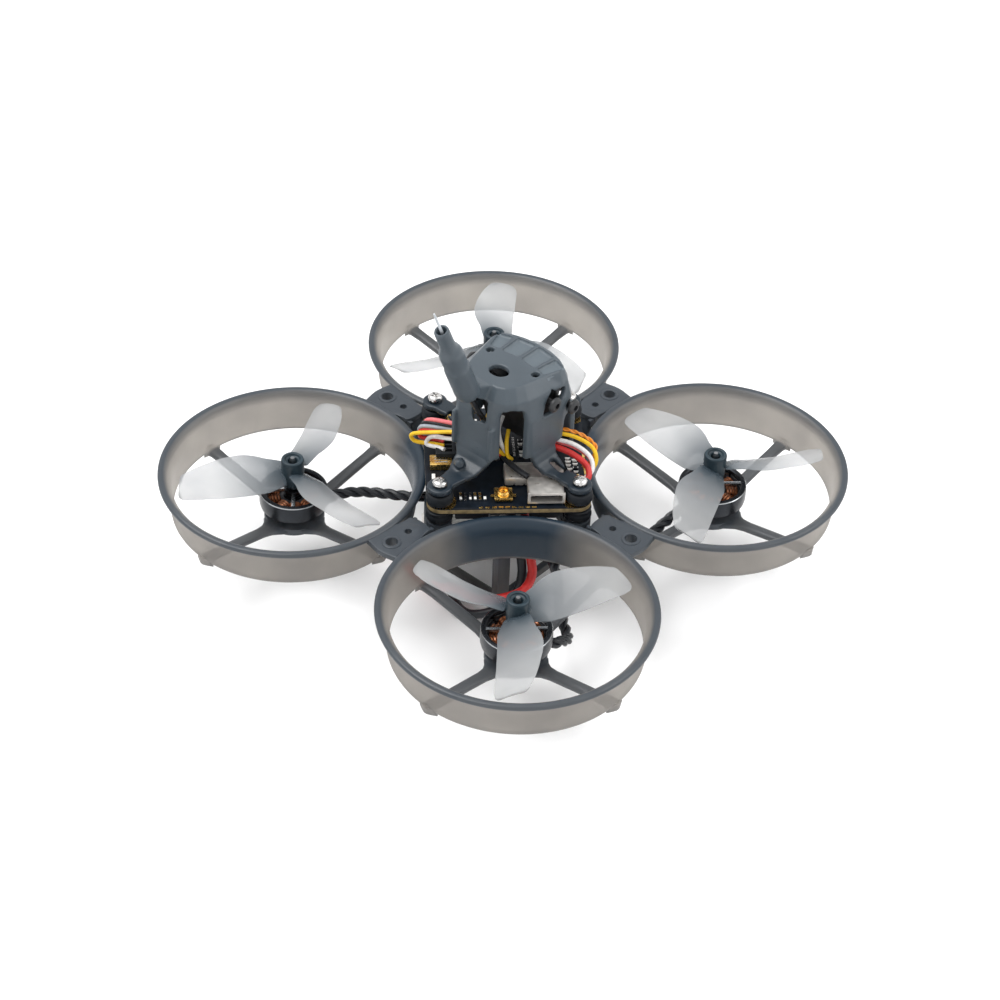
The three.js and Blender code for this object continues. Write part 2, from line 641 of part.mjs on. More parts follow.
// Routes of the leads. Those of the two front motors are one route, mirrored.
const FRONT_ROUTE = [[27, 24.4, 13.3], [27.1, 19, 13.1], [27.1, 13, 12.8], [26.2, 8.8, 12.8],
  [22.5, 6.6, 13], [17, 5.8, 13.2], [12.8, 5, 13.6], [10.6, 4.3, 15.4], [9.8, 4.2, 19],
  [9.9, 4.8, 24.3]];
const REAR_LEFT_ROUTE = [[-27, -24.4, 13.3], [-26.8, -21.5, 13.4], [-24.6, -18, 13.4], [-21, -14.8, 13.3],
  [-17, -12, 13.2], [-13.6, -9, 13.2], [-11.2, -6.2, 13.4], [-9.9, -4.4, 15.2], [-9.7, -4.2, 19],
  [-9.9, -4.8, 24.3]];
const REAR_RIGHT_ROUTE = [[33.6, -25.2, 13.3], [34.6, -22.2, 12.6], [33.4, -18.6, 10.4], [30, -15.8, 9.9],
  [26, -12.5, 10.6], [22, -8.6, 12.8], [17.8, -5.6, 13.2], [13.6, -3.4, 13.4], [11.5, -2.4, 15.2],
  [11.2, -2.4, 19], [11.4, -3, 24.3]];
const BLACK_LEAD = [[8.3, -7.3, 24.3], [8.3, -7.2, 20], [8.8, -6.7, 17], [10.6, -6.9, 12],
  [12.6, -8.3, 7], [13.4, -11.4, 4], [12.8, -14.8, 3], [11.2, -17.6, 2.2], [8.4, -19.3, 1.4],
  [5.2, -19, 1.1], [2.2, -17.2, 1.1], [-0.6, -15.6, 1.1], [-3, -15.2, 1.1], [-7.5, -15.4, 1.1],
  [-11.4, -13.6, 1.1], [-13, -9.8, 1.2], [-13, -6.5, 2.4]];
const RED_LEAD = [[10.1, -5.4, 24.3], [10.1, -5.2, 20], [10.7, -4.8, 17], [12.4, -5.9, 12],
  [14.5, -7.4, 8], [15.2, -10.6, 6.4], [13.8, -14, 5.8], [11.4, -16.4, 5.2], [8.6, -17.4, 4.4],
  [5.4, -17.4, 3.8], [2.4, -17.3, 3.5], [-0.4, -18, 2.2], [-3.4, -17.8, 1.1], [-8.3, -17.7, 1.1],
  [-13.2, -15.2, 1.1], [-15.2, -10.4, 1.2], [-15.2, -6.5, 2.4]];
const CAMERA_CABLE_LEFT = [[-4.4, -5.2, 31], [-7, -7.6, 32.2], [-10.4, -9.6, 31.4], [-13.2, -11.2, 30.2],
  [-14.9, -11.2, 28.8], [-14.4, -9.8, 27.7], [-12.4, -8.6, 27.3]];
const CAMERA_CABLE_RIGHT = [[6.2, 5.4, 29.6], [8.6, 6.2, 31], [11.4, 7.4, 31.6], [14, 8.8, 30.8],
  [15.9, 8.8, 29.2], [17.1, 7.2, 28.1], [17.4, 5, 27.6]];
const ANTENNA_CABLE = [[0.6, -6.6, 41], [1, -5.6, 37.5], [2.6, -4.4, 34], [5.4, -3.8, 31],
  [8.2, -4.2, 29.4]];

// The route of one motor's cable, in the drone's own frame.
function motorRoute(motor) {
  if (motor.end > 0) return FRONT_ROUTE.map(([x, y, z]) => [motor.side * x, y, z]);
  return motor.side > 0 ? REAR_RIGHT_ROUTE : REAR_LEFT_ROUTE;
}

for (const motor of MOTORS) {
  const [cx, cy] = [motor.side * MOTOR_OFFSET, motor.end * MOTOR_OFFSET];
  add(`duct_${motor.name}`, duct(cx, cy), 'frame');
  add(`motor_base_${motor.name}`, motorBase(cx, cy), 'blackMetal');
  add(`stator_${motor.name}`, stator(cx, cy), 'copper');
  add(`bell_${motor.name}`, bell(cx, cy), 'blackMetal');
  add(`shaft_${motor.name}`, cylinder(SHAFT_RADIUS, HUB_TOP + 0.2 - 13.1, cx, cy, 13.1, 16), 'metal');
  add(`propeller_${motor.name}`, propeller(motor, cx, cy), 'propeller');
  add(`motor_cable_${motor.name}`, tube(motorRoute(motor), MOTOR_CABLE_RADIUS, 14), 'black');
}

add('centre_frame', centreFrame(), 'frame');

POSTS.forEach(([x, y], k) => {
  const place = ['front', 'right', 'rear', 'left'][k];
  add(`grommet_${place}`, grommet(x, y), 'black');
  add(`canopy_screw_${place}`, canopyScrew(x, y), 'metal');
});

add('flight_controller_board', flightBoard(), 'black');
add('usb_socket', usbSocket(), 'metal');
add('shield_can', boardBox(11, 5, 1.9, 4.8, -6.6, BOARD_TOP + GAP), 'metal');
add('rf_connector', rfConnector(), 'gold');
add('processor_chip', boardBox(7, 7, 0.9, -2, 3, BOARD_TOP + GAP), 'black');
add('motor_driver_chip', boardBox(6, 6, 0.9, 0, 0, BOARD_BOTTOM - GAP - 0.9), 'black');
add('wire_plug', wirePlug(), 'black');
add('boot_button', boardBox(1.6, 1.6, 1.3, BUTTON_U, BUTTON_V, BOARD_TOP + 0.6), 'white');

add('canopy', canopyShell(), 'canopy');
add('antenna_whip', rod(0.45, 30, antennaPoint(11.5), ANTENNA_LINE, 10), 'white');
add('camera_housing', cameraHousing(), 'black');
add('lens_barrel', lensBarrel(), 'black');
add('lens_glass', lensGlass(), 'glass');
for (const [side, name] of [[-1, 'left'], [1, 'right']]) {
  add(`camera_pivot_screw_${name}`, cameraScrew(side, PIVOT_Y, PIVOT_Z), 'metal');
  add(`camera_lock_screw_${name}`, cameraScrew(side, ...slotPoint(SLOT_ANGLE)), 'metal');
}

add('battery_lead_black', tube(BLACK_LEAD, LEAD_RADIUS, 26), 'black');
add('battery_lead_red', tube(RED_LEAD, LEAD_RADIUS, 26), 'red');
add('battery_connector', box(6.8, 8, 4.6, -14.1, -2.2, 0), 'white');
add('camera_cable_left', tube(CAMERA_CABLE_LEFT, 1.2, 12), 'yellow');
add('camera_cable_right', tube(CAMERA_CABLE_RIGHT, 1.2, 12), 'red');
add('antenna_cable', tube(ANTENNA_CABLE, 1, 10), 'black');

export default drone;
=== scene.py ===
import random
from math import atan2, cos, hypot, pi, radians, sin, sqrt

import bmesh
import bpy
from mathutils import Matrix, Vector


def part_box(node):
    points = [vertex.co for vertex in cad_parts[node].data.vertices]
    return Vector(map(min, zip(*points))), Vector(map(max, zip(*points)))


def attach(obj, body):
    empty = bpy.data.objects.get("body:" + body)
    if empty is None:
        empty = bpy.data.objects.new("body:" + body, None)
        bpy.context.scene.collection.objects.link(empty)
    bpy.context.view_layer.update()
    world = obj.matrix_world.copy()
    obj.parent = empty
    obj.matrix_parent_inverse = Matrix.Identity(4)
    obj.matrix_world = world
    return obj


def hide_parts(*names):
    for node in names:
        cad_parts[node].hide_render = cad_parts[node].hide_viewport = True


# A ducted racing drone of the 85 mm class, standing on a pale floor. Shapes are made in millimetres.
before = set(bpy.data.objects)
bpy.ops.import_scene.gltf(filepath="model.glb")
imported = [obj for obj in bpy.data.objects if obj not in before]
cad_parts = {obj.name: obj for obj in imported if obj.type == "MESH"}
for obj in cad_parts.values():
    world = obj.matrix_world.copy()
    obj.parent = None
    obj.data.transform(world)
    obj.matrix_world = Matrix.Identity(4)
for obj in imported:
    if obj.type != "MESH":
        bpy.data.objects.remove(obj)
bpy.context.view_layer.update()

MM = 0.001
TAU = 2 * pi
dice = random.Random(85)

# Rest angle of the first blade in degrees, and turning sense seen from above (1 is counter-clockwise).
MOTORS = {
    "front_left": (7, 1),
    "front_right": (54, -1),
    "rear_left": (-4, -1),
    "rear_right": (69, 1),
}
CORNERS = ("front", "right", "rear", "left")


def corners_of(node):
    """Lowest and highest corner of a CAD node, in millimetres."""
    low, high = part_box(node)
    return Vector(low) / MM, Vector(high) / MM


def centre_of(node):
    low, high = corners_of(node)
    return (low + high) / 2


# Driving dimensions, from the frame where it has them.
RIM_TOP = corners_of("duct_front_left")[1].z
DUCT_FOOT = corners_of("duct_front_left")[0].z
DUCT_BOTTOM = RIM_TOP - 9.2
LIP_RADIUS = 26.95
WALL_RADIUS = 24.8
WALL = 0.8
MOUNT_RADIUS = 5.6
MOUNT_THICK = 1.6
MOTOR_SCREW_REACH = 3.3
MOTOR_SCREW_ANGLES = (30, 150, 270)
SPOKE_WIDTH = 2.4
SPOKE_THICK = 1.6
BELL_LOW, BELL_HIGH = corners_of("bell_front_left")
BELL_RADIUS = (BELL_HIGH.x - BELL_LOW.x) / 2
BELL_BOTTOM, BELL_TOP = BELL_LOW.z, BELL_HIGH.z
SHAFT_RADIUS = 0.75
PROP_RADIUS = 23.6
HUB_RADIUS = 2.3
HUB_BOTTOM = corners_of("propeller_front_left")[0].z
SHAFT_TOP = corners_of("shaft_front_left")[1].z
HUB_TOP = SHAFT_TOP - 0.2
POST_OFFSET = centre_of("grommet_right").x
GROMMET_LOW, GROMMET_HIGH = corners_of("grommet_right")
POST_TOP = GROMMET_LOW.z - 0.3
SCREW_LOW, SCREW_HIGH = corners_of("canopy_screw_right")
BOARD_TOP = corners_of("processor_chip")[0].z - 0.3
BOARD_THICK = 1.2
BOARD_BOTTOM = BOARD_TOP - BOARD_THICK
BOARD_HALF = 16.2
GUSSET_BOTTOM = RIM_TOP - 1.7
LARGE_HOLE_REACH = 32.8
SMALL_HOLE_REACH = 28.2
BAR_BOTTOM = 16.5
BAY_LEG_X = 9.4
BAY_LEG_Y = 11
BAY_WALL = 1.6
BAY_LEG_DEPTH = 3.8


# ---------------------------------------------------------------- the view

def add_camera():
    """The camera looks down on the drone from behind its right side."""
    azimuth, elevation, roll = radians(40.49), radians(39.591), radians(2.163)
    distance, shift_right, shift_up = 476.57, -1.009, -7.201
    back = Vector((sin(azimuth) * cos(elevation), -cos(azimuth) * cos(elevation),
                   sin(elevation)))
    right = (-back).cross(Vector((0, 0, 1))).normalized()
    up = right.cross(-back)
    right, up = right * cos(roll) + up * sin(roll), up * cos(roll) - right * sin(roll)
    place = back * distance + right * shift_right + up * shift_up + Vector((0, 0, RIM_TOP))
    data = bpy.data.cameras.new("camera")
    data.lens = 85.38
    data.sensor_width = 36
    data.clip_start = 0.01
    camera = in_scene("camera", data)
    turn = Matrix((right, up, back)).transposed()
    camera.matrix_world = Matrix.Translation(place * MM) @ turn.to_4x4()
    bpy.context.scene.camera = camera


# ---------------------------------------------------------------- shapes, as bmeshes in millimetres

def smooth_path(points, per_span):
    """Points along a centripetal curve through the points given."""
    points = [Vector(p) for p in points]
    first = points[0] * 2 - points[1]
    last = points[-1] * 2 - points[-2]
    whole = [first, *points, last]
    result = []
    for a, b, c, d in zip(whole, whole[1:], whole[2:], whole[3:]):
        t1 = sqrt((b - a).length)
        t2 = t1 + sqrt((c - b).length)
        t3 = t2 + sqrt((d - c).length)
        for k in range(per_span):
            t = t1 + (t2 - t1) * k / per_span
            p = a.lerp(b, t / t1)
            q = b.lerp(c, (t - t1) / (t2 - t1))
            r = c.lerp(d, (t - t2) / (t3 - t2))
            result.append(p.lerp(q, t / t2).lerp(q.lerp(r, (t - t1) / (t3 - t1)), (t - t1) / (t2 - t1)))
    result.append(points[-1])
    return result


def rounded(points, rounds, closed=True):
    """Cuts the corners of an outline, so that it runs in smooth bends inside the points given."""
    points = [Vector(p) for p in points]
    for _ in range(rounds):
        pairs = list(zip(points, points[1:] + points[:1]))
        if not closed:
            pairs.pop()
        cut = [p for a, b in pairs for p in (a.lerp(b, 0.25), a.lerp(b, 0.75))]
        points = cut if closed else [points[0], *cut[1:-1], points[-1]]
    return points


def loft(rings, closed=False):
    """A skin through rings of equal length; a ring of one point closes to a tip."""
    bm = bmesh.new()
    layers = [[bm.verts.new(p) for p in ring] for ring in rings]
    count = max(len(layer) for layer in layers)
    pairs = list(zip(layers, layers[1:]))
    if closed:
        pairs.append((layers[-1], layers[0]))
    for low, high in pairs:
        for k in range(count):
            n = (k + 1) % count
            corners = [low[k % len(low)], low[n % len(low)], high[n % len(high)], high[k % len(high)]]
            face = list(dict.fromkeys(corners))
            if len(face) > 2:
                bm.faces.new(face)
    if not closed:
        for layer in (layers[0], layers[-1]):
            if len(layer) > 2:
                bm.faces.new(layer)
    bmesh.ops.recalc_face_normals(bm, faces=bm.faces)
    return bm


def lathe(profile, steps):
    """A body of revolution about Z from [radius, height] points."""
    rings = []
    for radius, z in (tuple(p)[:2] for p in profile):
        if radius < 1e-6:
            rings.append([Vector((0, 0, z))])
        else:
            turns = [TAU * k / steps for k in range(steps)]
            rings.append([Vector((radius * cos(a), radius * sin(a), z)) for a in turns])
    return loft(rings, closed=len(rings[0]) > 1 and len(rings[-1]) > 1)


def rod(radius, low, high, steps=24):
    """A plain cutter along Z."""
    return lathe([[0, low], [radius, low], [radius, high], [0, high]], steps)


def disc(radius, low, high, edge, steps=40):
    """A turned disc with rounded edges."""
    half = edge * 0.3
    profile = [[0, low], [radius - edge, low], [radius - half, low + half], [radius, low + edge],
               [radius, high - edge], [radius - half, high - half], [radius - edge, high], [0, high]]
    return lathe(profile, steps)


def block(width, depth, height, x=0, y=0, z=0, bevel=0.2, turn=0):
    """A box with rounded edges, centred on x and y and standing on z."""
    bm = bmesh.new()
    bmesh.ops.create_cube(bm, size=1)
    bm.transform(Matrix.Diagonal((width, depth, height, 1)))
    if bevel:
        bmesh.ops.bevel(bm, geom=bm.edges[:], offset=bevel, segments=2, profile=0.6, affect="EDGES")
    return moved(bm, x, y, z + height / 2, turn)


def prism(outline, low, high, bevel):
    """An upright plate with the outline given and rounded rims."""
    points = [Vector(p) for p in outline]
    middle = sum(points, Vector((0, 0))) / len(points)

    def ring(inset, z):
        return [Vector((*(p + (middle - p).normalized() * inset), z)) for p in points]

    half = bevel * 0.3
    return loft([ring(bevel, low), ring(half, low + half), ring(0, low + bevel), ring(0, high - bevel),
                 ring(half, high - half), ring(bevel, high)])


def beam(stations, rounds):
    """A bar along +X through stations of place, width, underside height and thickness."""
    rings = []
    for x, width, low, thick in stations:
        half = width / 2
        outline = rounded([[-half, low], [half, low], [half, low + thick], [-half, low + thick]], rounds)
        rings.append([Vector((x, p.x, p.y)) for p in outline])
    return loft(rings)


def sweep(points, radius, sides):
    """A round tube along a line of points."""
    points = [Vector(p) for p in points]
    rings = []
    side = None
    for k, point in enumerate(points):
        ahead = (points[min(k + 1, len(points) - 1)] - points[max(k - 1, 0)]).normalized()
        if side is None:
            side = ahead.orthogonal().normalized()
        side = (side - ahead * side.dot(ahead)).normalized()
        other = ahead.cross(side)
        turns = [TAU * j / sides for j in range(sides)]
        rings.append([point + side * radius * cos(a) + other * radius * sin(a) for a in turns])
    return loft(rings)


def moved(bm, x=0, y=0, z=0, turn=0):
    bm.transform(Matrix.Translation((x, y, z)) @ Matrix.Rotation(radians(turn), 4, "Z"))
    return bm


def quartered(bm, reach, quarter):
    """Takes a body out along +X and turns it round the middle by a number of quarters."""
    return moved(moved(bm, reach), turn=90 * quarter)


def facing_nose(bm):
    """Lays a body made along Z down along +Y."""
    bm.transform(Matrix.Rotation(radians(-90), 4, "X"))
    return bm


def mesh_of(bm, name="work"):
    """Turns a bmesh into a mesh and frees it."""
    mesh = bpy.data.meshes.new(name)
    bm.to_mesh(mesh)
    bm.free()
    return mesh


def in_scene(name, data):
    """A new object with the data given, linked to the scene."""
    obj = bpy.data.objects.new(name, data)
    bpy.context.scene.collection.objects.link(obj)
    return obj


def combine(bodies):
    """One bmesh that holds all of the bodies side by side."""
    whole = bmesh.new()
    for body in bodies:
        mesh = mesh_of(body)
        whole.from_mesh(mesh)
        bpy.data.meshes.remove(mesh)
    return whole


def passed_through(bm, add_modifiers):
    """The bmesh after the modifiers that add_modifiers puts on it."""
    holder = in_scene("work", mesh_of(bm))
    helpers = add_modifiers(holder) or []
    evaluated = holder.evaluated_get(bpy.context.evaluated_depsgraph_get())
    result = bmesh.new()
    result.from_mesh(evaluated.to_mesh())
    evaluated.to_mesh_clear()
    for obj in [holder, *helpers]:
        data = obj.data
        bpy.data.objects.remove(obj)
        bpy.data.meshes.remove(data)
    return result


def boolean(base, tools, operation):
    """Joins or cuts solids: operation is UNION, DIFFERENCE or INTERSECT."""
    def add_modifiers(holder):
        helpers = []
        for tool in tools:
            helper = in_scene("tool", mesh_of(tool))
            modifier = holder.modifiers.new("cut", "BOOLEAN")
            modifier.operation = operation
            modifier.object = helper
            modifier.solver = "MANIFOLD"
            helpers.append(helper)
        return helpers
    return passed_through(base, add_modifiers)


def moulding(bm, voxel, rounds):
    """Remeshes a solid finely and softens its edges, as a moulded shell's are."""
    def add_modifiers(holder):
        remesh = holder.modifiers.new("skin", "REMESH")
        remesh.mode = "VOXEL"
        remesh.voxel_size = voxel
        soften = holder.modifiers.new("soften", "SMOOTH")
        soften.factor = 0.5
        soften.iterations = rounds
    return passed_through(bm, add_modifiers)


def piece(name, bm, materials, body, replaces=(), sharp=35, tone=None):
    """Makes the piece from a bmesh in millimetres. tone gives each point's number for its material."""
    tones = [tone(v.co) for v in bm.verts] if tone else None
    bm.transform(Matrix.Scale(MM, 4))
    mesh = mesh_of(bm, name)
    if tones:
        mesh.attributes.new("tone", "FLOAT", "POINT").data.foreach_set("value", tones)
    mesh.shade_smooth()
    mesh.set_sharp_from_angle(angle=radians(sharp))
    for material in materials if isinstance(materials, list) else [materials]:
        mesh.materials.append(material)
    obj = in_scene(name, mesh)
    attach(obj, body)
    if replaces:
        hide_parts(*replaces)
    return obj


def paint(bm, number):
    """Gives all faces of a bmesh one of its piece's materials, by number."""
    for face in bm.faces:
        face.material_index = number
    return bm


# ---------------------------------------------------------------- materials

def new_material(name):
    material = bpy.data.materials.new(name)
    material.use_nodes = True
    tree = material.node_tree
    return material, tree, tree.nodes["Principled BSDF"]


def feed(tree, node, inputs):
    """Sets inputs by name or number: a socket is linked, a colour is three numbers, the rest are values."""
    for key, value in inputs.items():
        socket = node.inputs[key]
        if isinstance(value, bpy.types.NodeSocket):
            tree.links.new(value, socket)
        else:
            socket.default_value = (*value, 1) if socket.type == "RGBA" else value


def add_node(tree, kind, inputs, output=0):
    """Adds a node with its inputs set, and gives one of its outputs."""
    node = tree.nodes.new(kind)
    feed(tree, node, inputs)
    return node.outputs[output]


def grain(tree, scale, detail=3, stretch=(1, 1, 1)):
    """A noise over the surface; scale is in features a metre."""
    place = add_node(tree, "ShaderNodeTexCoord", {}, "Object")
    stretched = add_node(tree, "ShaderNodeMapping", {"Vector": place, "Scale": stretch})
    noise = {"Vector": stretched, "Scale": scale, "Detail": detail}
    return add_node(tree, "ShaderNodeTexNoise", noise, "Fac")


def spread(tree, factor, low, high):
    """Maps the middle of a noise to the range from low to high."""
    ends = {"From Min": 0.3, "From Max": 0.7, "To Min": low, "To Max": high}
    return add_node(tree, "ShaderNodeMapRange", {"Value": factor, **ends})


def ramp(tree, factor, stops):
    """Colours along a factor, from (place, colour) stops."""
    node = tree.nodes.new("ShaderNodeValToRGB")
    elements = node.color_ramp.elements
    while len(elements) < len(stops):
        elements.new(0.5)
    for element, (place, colour) in zip(elements, stops):
        element.position = place
        element.color = (*colour, 1)
    tree.links.new(factor, node.inputs["Fac"])
    return node.outputs["Color"]


def blended(tree, factor, first, second, way="MIX"):
    """Mixes two colours, each a socket or plain values; factor is a socket or a number."""
    node = tree.nodes.new("ShaderNodeMix")
    node.data_type = "RGBA"
    node.blend_type = way
    feed(tree, node, {0: factor, 6: first, 7: second})
    return node.outputs[2]


def shade(colour, factor):
    return tuple(min(c * factor, 1) for c in colour)


def bumped(tree, height, depth):
    """The surface's normal, bumped by a height; depth is in millimetres."""
    return add_node(tree, "ShaderNodeBump", {"Height": height, "Strength": 1, "Distance": depth * MM})


def finish(name, colour, roughness, metallic=0, variation=0.25, patches=250, texture=2500, depth=0.012,
           coat=0, stretch=(1, 1, 1), shine=0.5):
    """A material with clouded colour, uneven gloss and a fine surface grain.

    variation is how far the clouds change the colour, patches and texture are the clouds and the grain in
    features a metre, and depth is the grain's height in millimetres.
    """
    material, tree, shader = new_material(name)
    clouds = grain(tree, patches)
    fine = grain(tree, texture, 4, stretch)
    base = ramp(tree, clouds, [(0.3, shade(colour, 1 - variation)), (0.7, shade(colour, 1 + variation))])
    flecks = ramp(tree, fine, [(0.35, (0.86, 0.86, 0.86)), (0.65, (1, 1, 1))])
    feed(tree, shader, {
        "Base Color": blended(tree, 1.0, base, flecks, "MULTIPLY"),
        "Roughness": spread(tree, fine, roughness * 0.75, min(roughness * 1.25, 1)),
        "Metallic": metallic,
        "Coat Weight": coat,
        "Specular IOR Level": shine,
        "Normal": bumped(tree, fine, depth),
    })
    return material


def translucent(name, thin, thick, glow_thin, glow_thick, tint, through, clear, roughness, patches, depth):
    """Cloudy plastic that lets light through: the tone attribute is 0 where it is thin, 1 where thick, and is
    also raised where a piece paints shade.

    through and clear are pairs, for thin and thick: the share of light that passes scattered, and the
    share that passes straight and takes the tint.
    """
    material, tree, shader = new_material(name)
    tone = tree.nodes.new("ShaderNodeAttribute")
    tone.attribute_name = "tone"
    tone = tone.outputs["Fac"]
    clouds = grain(tree, patches)
    fine = grain(tree, 3000, 4)
    mottle = ramp(tree, clouds, [(0.3, (0.88, 0.88, 0.89)), (0.7, (1, 1, 1))])
    base = blended(tree, 1.0, blended(tree, tone, thin, thick), mottle, "MULTIPLY")
    normal = bumped(tree, fine, depth)
    gloss = spread(tree, fine, roughness * 0.8, roughness * 1.2)
    feed(tree, shader, {"Base Color": base, "Roughness": gloss, "Normal": normal})
    glow_colour = blended(tree, 1.0, blended(tree, tone, glow_thin, glow_thick), mottle, "MULTIPLY")
    glow = add_node(tree, "ShaderNodeBsdfTranslucent", {"Color": glow_colour, "Normal": normal})
    tinted = blended(tree, 1.0, tint, mottle, "MULTIPLY")
    open_way = add_node(tree, "ShaderNodeBsdfTransparent", {"Color": tinted})
    lit = shader.outputs[0]
    for (low, high), other in ((through, glow), (clear, open_way)):
        share = add_node(tree, "ShaderNodeMapRange", {"Value": tone, "To Min": low, "To Max": high})
        lit = add_node(tree, "ShaderNodeMixShader", {0: share, 1: lit, 2: other})
    tree.links.new(lit, tree.nodes["Material Output"].inputs["Surface"])
    return material


NYLON = translucent("frame_nylon", thin=(0.262, 0.250, 0.236), thick=(0.013, 0.028, 0.046),
                    glow_thin=(0.600, 0.575, 0.540), glow_thick=(0.045, 0.075, 0.105),
                    tint=(0.79, 0.765, 0.73), through=(0.50, 0.20), clear=(0.40, 0.02),
                    roughness=0.36, patches=120, depth=0.004)
CANOPY = translucent("canopy_nylon", thin=(0.20, 0.24, 0.27), thick=(0.012, 0.022, 0.033),
                     glow_thin=(0.45, 0.52, 0.57), glow_thick=(0.04, 0.06, 0.075),
                     tint=(0.60, 0.66, 0.70), through=(0.40, 0.15), clear=(0.12, 0.0),
                     roughness=0.34, patches=150, depth=0.006)
PROP = translucent("propeller_milky", thin=(0.51, 0.52, 0.525), thick=(0.05, 0.075, 0.095),
                   glow_thin=(0.80, 0.81, 0.815), glow_thick=(0.14, 0.17, 0.20),
                   tint=(0.98, 0.98, 0.975), through=(0.36, 0.24), clear=(0.53, 0.22),
                   roughness=0.22, patches=90, depth=0.002)
HUB = finish("hub_plastic", (0.016, 0.030, 0.040), 0.38, depth=0.006, shine=0.3)
ANODISED = finish("motor_anodised", (0.022, 0.025, 0.030), 0.30, 0.75, 0.3, 200, 4000, 0.004,
                  stretch=(1, 1, 12))
MACHINED = finish("machined_edge", (0.52, 0.54, 0.56), 0.26, 1, 0.12, 300, 4000, 0.003, stretch=(1, 1, 12))
STEEL = finish("nickel_steel", (0.68, 0.67, 0.66), 0.20, 1, 0.15, 400, 3500, 0.004)
SPINDLE = finish("burnished_steel", (0.28, 0.29, 0.30), 0.34, 1, 0.2)
MAGNET = finish("magnet", (0.35, 0.36, 0.38), 0.35, 1, 0.2)
CORE = finish("stator_core", (0.05, 0.05, 0.055), 0.5, 0.4, 0.3, 300, 6000, 0.02, stretch=(0.1, 0.1, 1))
COPPER = finish("copper_winding", (0.34, 0.125, 0.055), 0.36, 0.8, 0.25, 600, 5000, 0.01, coat=0.3)
RUBBER = finish("silicone_rubber", (0.008, 0.010, 0.013), 0.55, 0, 0.4, 300, 3000, 0.015, shine=0.2)
MASK = finish("solder_mask", (0.004, 0.007, 0.012), 0.42, 0, 0.5, 500, 3500, 0.006, shine=0.15)
GOLD = finish("gold_plate", (0.78, 0.52, 0.17), 0.26, 1, 0.2, 500, 3500, 0.004)
CHIP = finish("chip_epoxy", (0.010, 0.012, 0.015), 0.48, 0, 0.3, 500, 5000, 0.006, shine=0.2)
TIN = finish("tin_plate", (0.58, 0.555, 0.52), 0.38, 0.7, 0.12, 300, 900, 0.0004)
LAMINATE = finish("laminate", (0.20, 0.145, 0.065), 0.5, 0, 0.35, 900, 6000, 0.01)
WHIP = finish("whip_coat", (0.50, 0.53, 0.56), 0.35, 0, 0.15, 300, 2500, 0.004)
WHITE = finish("white_nylon", (0.80, 0.80, 0.77), 0.42, 0, 0.06, 200, 2500, 0.008)
SHELL = finish("camera_plastic", (0.016, 0.017, 0.019), 0.42, 0, 0.3, 300, 3500, 0.012)
GLASS = finish("lens_coating", (0.02, 0.015, 0.05), 0.05, 0, 0.4, 120, 300, 0.0005, coat=1)


def wire_finish(name, colour):
    return finish(name, colour, 0.38, 0, 0.12, 500, 1800, 0.02, shine=0.35)


BLACK_WIRE = wire_finish("wire_black", (0.014, 0.016, 0.020))
RED_WIRE = wire_finish("wire_red", (0.55, 0.028, 0.025))
PINK_WIRE = wire_finish("wire_pink", (0.70, 0.16, 0.17))
YELLOW_WIRE = wire_finish("wire_yellow", (0.82, 0.50, 0.015))
WHITE_WIRE = wire_finish("wire_white", (0.78, 0.77, 0.76))
GREY_WIRE = wire_finish("wire_grey", (0.30, 0.33, 0.37))
ORANGE_WIRE = wire_finish("wire_orange", (0.75, 0.26, 0.03))


# ---------------------------------------------------------------- battery lead

BLACK_LEAD = [[8.3, -7.3, 24.3], [8.3, -7.2, 20], [8.8, -6.7, 17], [10.6, -6.9, 12],
              [12.6, -8.3, 7], [13.4, -11.4, 4], [12.8, -14.8, 3], [11.2, -17.6, 2.2], [8.4, -19.3, 1.4],
              [5.2, -19, 1.1], [2.2, -17.2, 1.1], [-0.6, -15.6, 1.1], [-3, -15.2, 1.1], [-7.5, -15.4, 1.1],
              [-11.4, -13.6, 1.1], [-13, -9.8, 1.2], [-13, -6.5, 2.4]]
RED_LEAD = [[10.1, -5.4, 24.3], [10.1, -5.2, 20], [10.7, -4.8, 17], [12.4, -5.9, 12],
            [14.5, -7.4, 8], [15.2, -10.6, 6.4], [13.8, -14, 5.8], [11.4, -16.4, 5.2], [8.6, -17.4, 4.4],
            [5.4, -17.4, 3.8], [2.4, -17.3, 3.5], [-0.4, -18, 2.2], [-3.4, -17.8, 1.1], [-8.3, -17.7, 1.1],
            [-13.2, -15.2, 1.1], [-15.2, -10.4, 1.2], [-15.2, -6.5, 2.4]]
LEAD_RADIUS = 0.95


